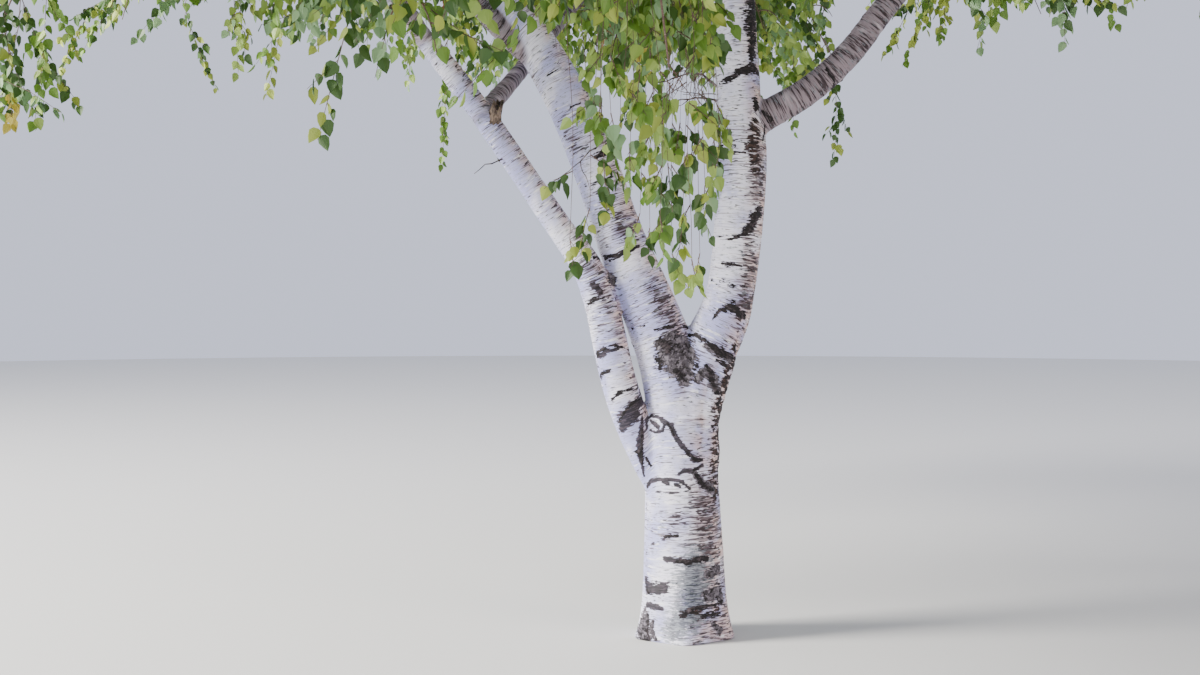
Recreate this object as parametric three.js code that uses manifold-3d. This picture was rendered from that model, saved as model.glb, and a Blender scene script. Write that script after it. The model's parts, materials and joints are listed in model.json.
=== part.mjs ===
// A silver birch that forks low down, as one grown in open parkland does: a short trunk, three main boughs,
// the limbs that spread from them, and a weeping crown in separate masses of foliage.
// Millimetres and degrees. +Z is up, +X to the right and +Y to the back. The origin is the middle of the flat
// cut at ground level. Lean is measured from upright, and heading from +X towards +Y.
import * as THREE from 'three';
import { mergeVertices } from 'three/addons/utils/BufferGeometryUtils.js';
import Module from 'manifold-3d';

// Driving dimensions of the trunk and limbs
const CLEARANCE = 0.3;        // between a limb and what carries it
const PATH_STEP = 50;         // between the points that a limb's path is summed from
const FORK_ARM = 700;         // the trunk holds each bough of the fork for this length along the bough
const FLARE_HEIGHT = 130;     // the root flare fades by a factor e over this height
const FLARE_WIDTH = 34;       // how far the flare stands out of the trunk at the ground
const ROOTS = 5;              // buttresses round the foot
const ROOT_DEPTH = 16;        // how far the buttresses stand out of the flare
const COLLAR_WIDTH = 0.22;    // swelling where a limb leaves its parent, as a share of its radius
const COLLAR_LENGTH = 160;    // and the length over which that fades
const USUAL_SIDES = 6;        // of a limb's solid
const RING_SPACING = 560;     // between the rings of a limb's solid
const TRUNK_RINGS = [0, 40, 95, 170, 270, 400, 560, 720, 860, 1000];

// Driving dimensions of the foliage. Two values in brackets are the ends of a range.
const STEM_SIDES = 5;
const STEM_RINGS = 4;
const STEM_TIP_RADIUS = 18;
const TWIGS_PER_STEM = 9;
const TWIG_ROOTS = [0.06, 0.98];    // shares of the stem between which its twigs leave it
const TWIG_SIDES = 3;
const TWIG_RADIUS = 14;
const TWIG_TIP_RADIUS = 10;
const GOLDEN_ANGLE = 137.5;         // from each twig to the next round the stem
const HEADING_DRIFT = 40;           // and what chance adds to that
const TWIG_LIFT = [78, 44];         // lean of a twig where it leaves the stem, on the first and last twig
const LIFT_DRIFT = 16;
const TWIG_REACH = [0.45, 0.75];    // how far a twig reaches out, in shares of the spread
const TWIG_FALL = [0.7, 1.2];       // how far it then hangs, in shares of the trail
const DROOP = 152;                  // lean of its hanging part
const BEND = 1;                     // to each side of its bend
const TWIG_SHARES = [1, 0.85, 0.7, 0.55];
const SPRAYS_PER_TWIG = 5;          // a spray is a blade that stands for a hanging spray of leaves
const LAST_ROOT = 0.97;             // where on the twig the last spray hangs
const SPRAY_TURN = [45, 90];        // from the twig's heading, to the left and right by turns
const SPRAY_LEAN = [112, 148];      // at the twig's foot and at its tip
const SPRAY_DRIFT = 20;
const TIP_DRIFT = 10;
const SPRAY_SIZE = [0.85, 1.15];
const SPRAY_LENGTH = 860;
const SPRAY_WIDTH = 330;
const SPRAY_THICKNESS = 18;
const SPRAY_SINK = 3;               // how far its pointed root runs past the middle of its twig
const SPRAY_WIDEST = 0.36;          // where along its length it is widest
const SPRAY_GAP = 165;              // kept between the middle lines of two sprays
const SPACE_MARGIN = 0.06;          // kept clear of a neighbour's space, in shares of a space's size
const LIMB_MARGIN = 30;             // kept clear of every limb

const WHITE_BARK = { color: 0xd9d4dc, roughness: 0.7, metalness: 0 };
const GREY_BARK = { color: 0x8d8488, roughness: 0.85, metalness: 0 };
const LEAF = { color: 0x6f9a33, roughness: 0.6, metalness: 0 };

// The trunk and its limbs. Each pair is a distance along the limb and what holds there: the lean, the heading
// or the diameter. A limb starts on its parent's middle line, at the distance `joint` along the parent.
const LIMBS = {
  trunk: {
    length: 1000,
    lean: [[0, 0], [400, 1.5], [1000, 3]],
    heading: [[0, 180]],
    width: [[0, 366], [350, 356], [700, 330], [900, 314], [1000, 322]],
    sides: 20,
  },
  left_bough: {
    parent: 'trunk', joint: 830, length: 6300,
    lean: [
      [0, 1], [280, 10], [560, 20.5], [750, 24], [1150, 18.5], [1400, 21], [1600, 24],
      [1830, 30], [2150, 36], [2600, 37], [3600, 24], [6300, 9],
    ],
    heading: [[0, 174], [2600, 172], [6300, 150]],
    width: [[0, 280], [560, 262], [1100, 214], [1700, 201], [2250, 174], [6300, 58]],
    sides: 10,
  },
  right_bough: {
    parent: 'trunk', joint: 830, length: 7500,
    lean: [
      [0, 6], [300, 18], [560, 26], [640, 22], [720, 13], [850, 7], [1300, 1.5], [1500, -4],
      [2200, -3], [3400, 8], [7500, 2],
    ],
    heading: [[0, 0], [2200, 0], [7500, -50]],
    width: [[0, 260], [560, 245], [760, 214], [1000, 218], [1400, 230], [1640, 200], [2200, 198], [7500, 56]],
    sides: 10,
  },
  low_bough: {
    parent: 'trunk', joint: 540, length: 3300,
    lean: [
      [0, 36], [235, 28], [400, 24], [620, 17], [770, 12], [950, 13], [1120, 19], [1300, 37],
      [1560, 34], [1940, 35], [2700, 42], [3300, 40],
    ],
    heading: [[0, 188], [2400, 188], [3300, 178]],
    width: [[0, 150], [600, 161], [900, 157], [1100, 146], [1400, 116], [2000, 108], [3300, 54]],
    sides: 10,
  },
  low_right_limb: {
    parent: 'right_bough', joint: 1488, length: 2500,
    lean: [[0, 60], [240, 62], [410, 50], [578, 43], [713, 35], [1200, 48], [2500, 68]],
    heading: [[0, -6], [900, -6], [2500, -14]],
    width: [[0, 128], [400, 122], [900, 106], [2500, 46]],
  },
  low_back_limb: {
    parent: 'low_bough', joint: 2030, length: 2500,
    lean: [[0, 60], [500, 56], [1000, 55], [2500, 72]],
    heading: [[0, 68], [1000, 64], [2500, 84]],
    width: [[0, 78], [700, 72], [2500, 40]],
  },
  low_front_limb: {
    parent: 'left_bough', joint: 2320, length: 1650,
    lean: [[0, 60], [600, 66], [1200, 84], [1650, 100]],
    heading: [[0, -80], [1650, -70]],
    width: [[0, 80], [1650, 40]],
  },
  low_front_left_limb: {
    parent: 'low_bough', joint: 2450, length: 2000,
    lean: [[0, 58], [900, 56], [2000, 70]],
    heading: [[0, -112], [2000, -130]],
    width: [[0, 72], [2000, 40]],
  },
  middle_left_limb: {
    parent: 'left_bough', joint: 1850, length: 3000,
    lean: [[0, 62], [250, 48], [500, 34], [1200, 32], [3000, 46]],
    heading: [[0, 190], [1000, 196], [3000, 204]],
    width: [[0, 96], [500, 86], [3000, 42]],
  },
  low_back_left_limb: {
    parent: 'left_bough', joint: 2600, length: 2300,
    lean: [[0, 64], [900, 60], [2300, 74]],
    heading: [[0, 108], [2300, 128]],
    width: [[0, 88], [2300, 42]],
  },
  middle_front_left_limb: {
    parent: 'left_bough', joint: 3900, length: 2200,
    lean: [[0, 52], [900, 44], [2200, 40]],
    heading: [[0, -62], [2200, -84]],
    width: [[0, 72], [2200, 40]],
  },
  low_front_right_limb: {
    parent: 'right_bough', joint: 2260, length: 2350,
    lean: [[0, 66], [900, 63], [2350, 76]],
    heading: [[0, -46], [2350, -60]],
    width: [[0, 86], [2350, 42]],
  },
  middle_back_limb: {
    parent: 'right_bough', joint: 2200, length: 2900,
    lean: [[0, 40], [900, 34], [2900, 38]],
    heading: [[0, 140], [2900, 116]],
    width: [[0, 116], [2900, 46]],
  },
  low_back_right_limb: {
    parent: 'right_bough', joint: 2450, length: 2450,
    lean: [[0, 66], [1000, 63], [2450, 76]],
    heading: [[0, 40], [2450, 56]],
    width: [[0, 86], [2450, 42]],
  },
  middle_front_right_limb: {
    parent: 'right_bough', joint: 3050, length: 2200,
    lean: [[0, 54], [900, 46], [2200, 46]],
    heading: [[0, -62], [2200, -76]],
    width: [[0, 84], [2200, 42]],
  },
  upper_right_limb: {
    parent: 'right_bough', joint: 3350, length: 2500,
    lean: [[0, 54], [900, 46], [2500, 44]],
    heading: [[0, 10], [2500, -8]],
    width: [[0, 82], [2500, 42]],
  },
  upper_front_limb: {
    parent: 'right_bough', joint: 4700, length: 2000,
    lean: [[0, 50], [800, 36], [2000, 24]],
    heading: [[0, -118], [2000, -100]],
    width: [[0, 66], [2000, 38]],
  },
  upper_back_limb: {
    parent: 'right_bough', joint: 5400, length: 1900,
    lean: [[0, 50], [800, 36], [1900, 22]],
    heading: [[0, 88], [1900, 104]],
    width: [[0, 62], [1900, 38]],
  },
};

// The masses of foliage. The stem grows on from its limb's tip, bending to the lean `nod`. The space is an
// egg round the middle of the stem: `spread` wide to each side, `rise` high and `hang` deep. A twig reaches
// out for a share of the spread, then hangs for about the length `trail`.
const MASSES = {
  top_foliage: {
    limb: 'right_bough',
    stem: 2500, nod: 4, spread: 1440, rise: 2050, hang: 1850, trail: 850,
  },
  upper_left_foliage: {
    limb: 'left_bough',
    stem: 1700, nod: 18, spread: 1550, rise: 1680, hang: 2050, trail: 1100,
  },
  upper_front_foliage: {
    limb: 'upper_front_limb',
    stem: 1500, nod: 30, spread: 1390, rise: 1360, hang: 1950, trail: 1100,
  },
  upper_back_foliage: {
    limb: 'upper_back_limb',
    stem: 1500, nod: 28, spread: 1390, rise: 1470, hang: 1950, trail: 1100,
  },
  upper_right_foliage: {
    limb: 'upper_right_limb',
    stem: 1600, nod: 70, spread: 1600, rise: 1470, hang: 2400, trail: 1200,
  },
  middle_left_foliage: {
    limb: 'middle_left_limb',
    stem: 1500, nod: 95, spread: 1550, rise: 1360, hang: 2300, trail: 1200,
  },
  middle_front_left_foliage: {
    limb: 'middle_front_left_limb',
    stem: 1500, nod: 80, spread: 1500, rise: 1260, hang: 2300, trail: 1200,
  },
  middle_back_foliage: {
    limb: 'middle_back_limb',
    stem: 1500, nod: 75, spread: 1500, rise: 1260, hang: 2200, trail: 1200,
  },
  middle_front_right_foliage: {
    limb: 'middle_front_right_limb',
    stem: 1500, nod: 80, spread: 1500, rise: 1260, hang: 2200, trail: 1200,
  },
  low_back_left_foliage: {
    limb: 'low_back_left_limb',
    stem: 1500, nod: 105, spread: 1600, rise: 1160, hang: 2400, trail: 1250,
  },
  low_left_foliage: {
    limb: 'low_bough',
    stem: 1500, nod: 112, spread: 1600, rise: 1050, hang: 2200, trail: 1200,
  },
  low_front_left_foliage: {
    limb: 'low_front_left_limb',
    stem: 1300, nod: 120, spread: 1440, rise: 940, hang: 2200, trail: 1200,
  },
  low_front_foliage: {
    limb: 'low_front_limb',
    stem: 800, nod: 150, spread: 1120, rise: 840, hang: 3100, trail: 1950,
  },
  low_back_foliage: {
    limb: 'low_back_limb',
    stem: 1400, nod: 112, spread: 1600, rise: 940, hang: 2200, trail: 1200,
  },
  low_right_foliage: {
    limb: 'low_right_limb',
    stem: 1400, nod: 118, spread: 1600, rise: 940, hang: 2300, trail: 1200,
  },
  low_front_right_foliage: {
    limb: 'low_front_right_limb',
    stem: 1400, nod: 118, spread: 1550, rise: 940, hang: 2300, trail: 1200,
  },
  low_back_right_foliage: {
    limb: 'low_back_right_limb',
    stem: 1400, nod: 115, spread: 1600, rise: 1050, hang: 2400, trail: 1200,
  },
};

// Paths

// The value at a distance along, from pairs of distance and value.
function along(pairs, at) {
  const next = pairs.findIndex(([distance]) => distance >= at);
  if (next === 0) return pairs[0][1];
  if (next < 0) return pairs[pairs.length - 1][1];
  const [[from, first], [to, last]] = [pairs[next - 1], pairs[next]];
  return first + ((last - first) * (at - from)) / (to - from);
}

// The direction of growth, the level sideways direction and the one square to both.
function frameOf(lean, heading) {
  const [l, h] = [lean, heading].map(THREE.MathUtils.degToRad);
  const ahead = new THREE.Vector3(Math.sin(l) * Math.cos(h), Math.sin(l) * Math.sin(h), Math.cos(l));
  const side = new THREE.Vector3(-Math.sin(h), Math.cos(h), 0);
  return { ahead, side, over: side.clone().cross(ahead) };
}

// A path summed from its start, in straight stretches between the stations, each along the lean and heading
// that hold at its middle.
function makePath({ start, lean, heading, stations }) {
  const points = [start.clone()];
  for (let i = 1; i < stations.length; i++) {
    const middle = (stations[i - 1] + stations[i]) / 2;
    const { ahead } = frameOf(along(lean, middle), along(heading, middle));
    points.push(points[i - 1].clone().addScaledVector(ahead, stations[i] - stations[i - 1]));
  }
  return {
    stations,
    length: stations[stations.length - 1],
    at(distance) {
      const next = stations.findIndex((station, i) => i > 0 && station >= distance);
      const i = next < 0 ? stations.length - 2 : next - 1;
      const share = (distance - stations[i]) / (stations[i + 1] - stations[i]);
      const point = points[i].clone().lerp(points[i + 1], share);
      return { point, ...frameOf(along(lean, distance), along(heading, distance)) };
    },
  };
}

// The value at a share of the way between the two ends of a range.
function within([low, high], share) {
  return THREE.MathUtils.lerp(low, high, share);
}

function evenly(from, to, count) {
  return Array.from({ length: count + 1 }, (_, i) => within([from, to], i / count));
}

const paths = {};
for (const [name, limb] of Object.entries(LIMBS)) {
  const start = limb.parent ? paths[limb.parent].at(limb.joint).point : new THREE.Vector3();
  const stations = evenly(0, limb.length, Math.ceil(limb.length / PATH_STEP));
  paths[name] = makePath({ start, stations, ...limb });
}

// Solids

const wasm = await Module();
wasm.setup();

function toSolid(geometry) {
  geometry.deleteAttribute('normal');
  geometry.deleteAttribute('uv');
  const merged = mergeVertices(geometry, 1e-3);
  const vertProperties = merged.attributes.position.array;
  const triVerts = new Uint32Array(merged.index.array);
  return new wasm.Manifold(new wasm.Mesh({ numProp: 3, vertProperties, triVerts }));
}

function largest(solid) {
  return solid.decompose().sort((a, b) => b.volume() - a.volume())[0];
}

// A closed tube along a path, with a ring at each of the distances and a flat cut at each end.
function tube(path, distances, radiusAt, sides) {
  const rings = distances.length - 1;
  const geometry = new THREE.CylinderGeometry(1, 1, 1, sides, rings);
  const { position } = geometry.attributes;
  const vertex = new THREE.Vector3();
  for (let i = 0; i < position.count; i++) {
    vertex.fromBufferAttribute(position, i);
    const distance = distances[Math.round((vertex.y + 0.5) * rings)];
    const { point, side, over } = path.at(distance);
    const radius = radiusAt(distance, Math.atan2(vertex.x, vertex.z));
    point.addScaledVector(over, -vertex.z * radius).addScaledVector(side, -vertex.x * radius);
    position.setXYZ(i, point.x, point.y, point.z);
  }
  return toSolid(geometry);
}

// A limb's radius: half its width, with a collar where it leaves its parent.
function limbRadius(name, distance) {
  const { width, parent } = LIMBS[name];
  const collar = parent === 'trunk' || !parent ? 0 : COLLAR_WIDTH * Math.exp(-distance / COLLAR_LENGTH);
  return (along(width, distance) / 2) * (1 + collar);
}

// The trunk's radius: flared at the foot, with a buttress over each root.
function trunkRadius(distance, angle) {
  const fade = Math.exp(-distance / FLARE_HEIGHT);
  const buttress = ROOT_DEPTH * Math.cos(ROOTS * angle);
  return limbRadius('trunk', distance) + fade * (FLARE_WIDTH + buttress);
}

// The same distances with the first and last moved outwards.
function lengthened(distances, grow) {
  return [distances[0] - grow, ...distances.slice(1, -1), distances[distances.length - 1] + grow];
}

function limbSolid(name, [from, to], grow = 0) {
  const radiusAt = (distance) => limbRadius(name, distance) + grow;
  const distances = evenly(from, to, Math.max(2, Math.round((to - from) / RING_SPACING)));
  return tube(paths[name], lengthened(distances, grow), radiusAt, LIMBS[name].sides ?? USUAL_SIDES);
}

// The trunk up to its fork, with the first length of both boughs of the fork. Grown by the clearance, it cuts
// what stands against it.
const FORK_BOUGHS = ['left_bough', 'right_bough'];
function trunkSolid(grow = 0) {
  const radiusAt = (distance, angle) => trunkRadius(distance, angle) + grow;
  const column = tube(paths.trunk, lengthened(TRUNK_RINGS, grow), radiusAt, LIMBS.trunk.sides);
  return FORK_BOUGHS.reduce((solid, name) => solid.add(limbSolid(name, [0, FORK_ARM], grow)), column);
}

// The stretch of a limb's path that its own solid takes up.
function ownStretch(name) {
  const start = FORK_BOUGHS.includes(name) ? FORK_ARM + CLEARANCE : 0;
  return [start, LIMBS[name].length];
}

// A limb as it stands: cut clear of what it grows from.
function standingLimb(name) {
  if (name === 'trunk') return trunkSolid();
  const { parent } = LIMBS[name];
  const solid = limbSolid(name, ownStretch(name));
  if (FORK_BOUGHS.includes(name)) return solid;
  const isOnTrunk = parent === 'trunk';
  const socket = isOnTrunk ? trunkSolid(CLEARANCE) : limbSolid(parent, ownStretch(parent), CLEARANCE);
  return largest(solid.subtract(socket));
}

// Foliage

// A run of numbers from 0 to 1, the same for the same seed, by a linear congruence.
const FACTOR = 1664525;
const INCREMENT = 1013904223;
const MODULUS = 2 ** 32;
function seeded(seed) {
  let state = seed;
  return () => {
    state = (Math.imul(state, FACTOR) + INCREMENT) >>> 0;
    return state / MODULUS;
  };
}

const SPRAY_SEED = 1000;      // added to a mass's seed for its sprays
const masses = Object.entries(MASSES).map(([name, mass], index) => {
  const limb = LIMBS[mass.limb];
  const tip = paths[mass.limb].at(limb.length);
  const lean = [[0, along(limb.lean, limb.length)], [mass.stem, mass.nod]];
  const heading = [[0, along(limb.heading, limb.length)]];
  const start = tip.point.addScaledVector(tip.ahead, CLEARANCE);
  const stem = makePath({ start, lean, heading, stations: evenly(0, mass.stem, STEM_RINGS) });
  return { name, ...mass, path: stem, centre: stem.at(mass.stem / 2).point, seed: index + 1 };
});

// How far out a point is in a mass's space: 0 at the middle and 1 at the skin.
function depthIn(mass, point) {
  const from = point.clone().sub(mass.centre);
  const height = from.z > 0 ? mass.rise : mass.hang;
  return Math.hypot(from.x / mass.spread, from.y / mass.spread, from.z / height);
}

function isFree(mass, point) {
  const own = depthIn(mass, point);
  if (own > 1) return false;
  return masses.every((other) => other === mass || depthIn(other, point) > own + SPACE_MARGIN);
}

const limbSamples = Object.entries(paths).flatMap(([name, path]) => {
  const count = Math.ceil(path.length / PATH_STEP);
  return Array.from({ length: count + 1 }, (_, i) => {
    const distance = (i / count) * path.length;
    return { point: path.at(distance).point, radius: limbRadius(name, distance) };
  });
});

function clearsLimbs(point, reach) {
  return limbSamples.every((limb) => limb.point.distanceTo(point) > limb.radius + reach + LIMB_MARGIN);
}

// Shares of a twig's and a spray's length at which they are tested.
const TWIG_STATIONS = evenly(0.1, 1, 12);
const SPRAY_STATIONS = evenly(0.08, 1, 8);
const EDGE_SHARES = [-1, -0.5, 0.5, 1];

function twigFits(mass, path) {
  const stations = TWIG_STATIONS.map((share) => path.at(share * path.length).point);
  return stations.every((point) => isFree(mass, point) && clearsLimbs(point, TWIG_RADIUS));
}

// The points by which a spray's blade is tested: on its middle line, and on and inside its edges.
function sprayPoints({ root, ahead, side, size }) {
  const length = SPRAY_LENGTH * size;
  const line = SPRAY_STATIONS.map((share) => root.clone().addScaledVector(ahead, length * share));
  const blade = SPRAY_STATIONS.flatMap((share, i) => {
    const taper = Math.min(share / SPRAY_WIDEST, (1 - share) / (1 - SPRAY_WIDEST));
    const half = (SPRAY_WIDTH * size * taper) / 2;
    return EDGE_SHARES.map((out) => line[i].clone().addScaledVector(side, half * out));
  });
  return { line, blade };
}

function isClose(spray, other) {
  return other.line.some((a) => spray.line.some((b) => a.distanceTo(b) < SPRAY_GAP));
}

// A spray hangs free where every point of it is in its mass's space and clear of the limbs, and no other
// spray's middle line is close.
function sprayFits(mass, spray, others) {
  if (others.some((other) => isClose(spray, other))) return false;
  const points = [...spray.line, ...spray.blade];
  return points.every((point) => isFree(mass, point) && clearsLimbs(point, 0));
}

// A spray's blade: a flat diamond that hangs by its pointed root.
function spraySolid({ root, ahead, side, size }) {
  const length = SPRAY_LENGTH * size + SPRAY_SINK;
  const geometry = new THREE.OctahedronGeometry(0.5);
  const { position } = geometry.attributes;
  for (let i = 0; i < position.count; i++) {
    const isTip = Math.abs(position.getY(i)) > 0.25;
    if (!isTip) position.setY(i, SPRAY_WIDEST - 0.5);
  }
  geometry.scale(SPRAY_WIDTH * size, length, SPRAY_THICKNESS);
  geometry.translate(0, length / 2 - SPRAY_SINK, 0);
  geometry.applyMatrix4(new THREE.Matrix4().makeBasis(side, ahead, side.clone().cross(ahead)));
  geometry.translate(root.x, root.y, root.z);
  return toSolid(geometry);
}

// The twigs of a mass. Each reaches out from the stem, then bends and hangs, and is the longest of a few
// lengths that keeps to the space and clears the limbs.
function growTwigs(mass) {
  const random = seeded(mass.seed);
  const twigs = [];
  for (let i = 0; i < TWIGS_PER_STEM; i++) {
    const share = (i + 0.5) / TWIGS_PER_STEM;
    const start = mass.path.at(mass.stem * within(TWIG_ROOTS, share)).point;
    const heading = i * GOLDEN_ANGLE + HEADING_DRIFT * random();
    const lift = within(TWIG_LIFT, share) + LIFT_DRIFT * random();
    const reach = mass.spread * within(TWIG_REACH, random());
    const fall = mass.trail * within(TWIG_FALL, random());
    for (const part of TWIG_SHARES) {
      const bend = reach * part;
      const stations = [0, bend, bend + fall * part];
      const lean = [[bend - BEND, lift], [bend, (lift + DROOP) / 2], [bend + BEND, DROOP]];
      const path = makePath({ start, lean, heading: [[0, heading]], stations });
      if (twigFits(mass, path)) {
        twigs.push({ path, heading });
        break;
      }
    }
  }
  return twigs;
}

// The sprays of a twig hang from it by turns to the left and right, with one at its tip.
function growSprays(mass, twig, random, others) {
  const sprays = [];
  for (let k = 1; k <= SPRAYS_PER_TWIG; k++) {
    const share = k / SPRAYS_PER_TWIG;
    const isTip = k === SPRAYS_PER_TWIG;
    const hand = k % 2 ? -1 : 1;
    const turn = hand * within(SPRAY_TURN, random());
    const drift = (isTip ? TIP_DRIFT : SPRAY_DRIFT) * random();
    const lean = (isTip ? DROOP : within(SPRAY_LEAN, share)) + drift;
    const size = within(SPRAY_SIZE, random());
    const { ahead } = frameOf(lean, twig.heading + turn);
    const on = twig.path.at(share * LAST_ROOT * twig.path.length);
    const side = isTip ? on.side : on.ahead.clone();
    side.addScaledVector(ahead, -side.dot(ahead)).normalize();
    const spray = { root: on.point, ahead, side, size };
    Object.assign(spray, sprayPoints(spray));
    if (sprayFits(mass, spray, [...others, ...sprays])) sprays.push(spray);
  }
  return sprays;
}

function massSolid(mass) {
  const tipRadius = limbRadius(mass.limb, LIMBS[mass.limb].length);
  const random = seeded(mass.seed + SPRAY_SEED);
  const stemRadius = (distance) => within([tipRadius, STEM_TIP_RADIUS], distance / mass.stem);
  let solid = tube(mass.path, mass.path.stations, stemRadius, STEM_SIDES);
  const sprays = [];
  for (const { path, heading } of growTwigs(mass)) {
    const twigRadius = (distance) => within([TWIG_RADIUS, TWIG_TIP_RADIUS], distance / path.length);
    solid = solid.add(tube(path, path.stations, twigRadius, TWIG_SIDES));
    for (const spray of growSprays(mass, { path, heading }, random, sprays)) {
      solid = solid.add(spraySolid(spray));
      sprays.push(spray);
    }
  }
  return largest(solid);
}

// The tree

const tree = new THREE.Group();

function addMesh(name, solid, finish) {
  const { vertProperties, triVerts } = solid.getMesh();
  const geometry = new THREE.BufferGeometry();
  geometry.setAttribute('position', new THREE.BufferAttribute(vertProperties, 3));
  geometry.setIndex(new THREE.BufferAttribute(triVerts, 1));
  geometry.computeVertexNormals();
  const mesh = new THREE.Mesh(geometry, new THREE.MeshStandardMaterial(finish));
  mesh.name = name;
  tree.add(mesh);
}

for (const name of Object.keys(LIMBS)) {
  const isMain = name === 'trunk' || LIMBS[name].parent === 'trunk';
  addMesh(name, standingLimb(name), isMain ? WHITE_BARK : GREY_BARK);
}
for (const mass of masses) addMesh(mass.name, massSolid(mass), LEAF);

export default tree;
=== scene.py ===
import json
import math

import bpy
import numpy as np
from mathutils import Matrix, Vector
from mathutils.bvhtree import BVHTree

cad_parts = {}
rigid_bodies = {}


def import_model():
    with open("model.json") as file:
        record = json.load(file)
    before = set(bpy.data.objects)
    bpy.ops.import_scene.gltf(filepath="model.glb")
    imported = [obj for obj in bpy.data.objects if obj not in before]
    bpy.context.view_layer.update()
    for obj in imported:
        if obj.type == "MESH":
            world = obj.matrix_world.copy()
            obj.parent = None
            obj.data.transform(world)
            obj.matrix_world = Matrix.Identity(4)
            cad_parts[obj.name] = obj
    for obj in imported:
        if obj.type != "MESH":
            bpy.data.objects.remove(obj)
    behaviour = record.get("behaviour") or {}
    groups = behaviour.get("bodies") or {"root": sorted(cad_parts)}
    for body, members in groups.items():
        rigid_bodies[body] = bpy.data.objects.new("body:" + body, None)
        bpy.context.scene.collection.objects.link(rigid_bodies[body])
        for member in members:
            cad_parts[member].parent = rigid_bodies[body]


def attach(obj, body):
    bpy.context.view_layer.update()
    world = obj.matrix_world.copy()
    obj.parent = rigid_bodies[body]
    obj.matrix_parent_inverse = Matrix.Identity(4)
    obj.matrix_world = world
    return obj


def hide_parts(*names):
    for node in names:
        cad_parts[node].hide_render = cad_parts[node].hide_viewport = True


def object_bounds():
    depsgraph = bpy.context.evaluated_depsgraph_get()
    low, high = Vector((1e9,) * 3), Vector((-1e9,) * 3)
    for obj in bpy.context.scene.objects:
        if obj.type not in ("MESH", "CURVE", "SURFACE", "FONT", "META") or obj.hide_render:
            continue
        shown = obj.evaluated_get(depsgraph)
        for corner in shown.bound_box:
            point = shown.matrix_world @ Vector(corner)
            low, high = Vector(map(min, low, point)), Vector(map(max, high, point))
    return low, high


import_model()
solid_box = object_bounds()

# The trunk and its boughs

# Living birch wood under white, papery bark, all grown together: a short trunk forks low into three
# boughs, and the boughs carry the lowest limbs. One skin is drawn over the overlapping limbs, and then
# gets the bark's relief, scars and colours.

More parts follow.
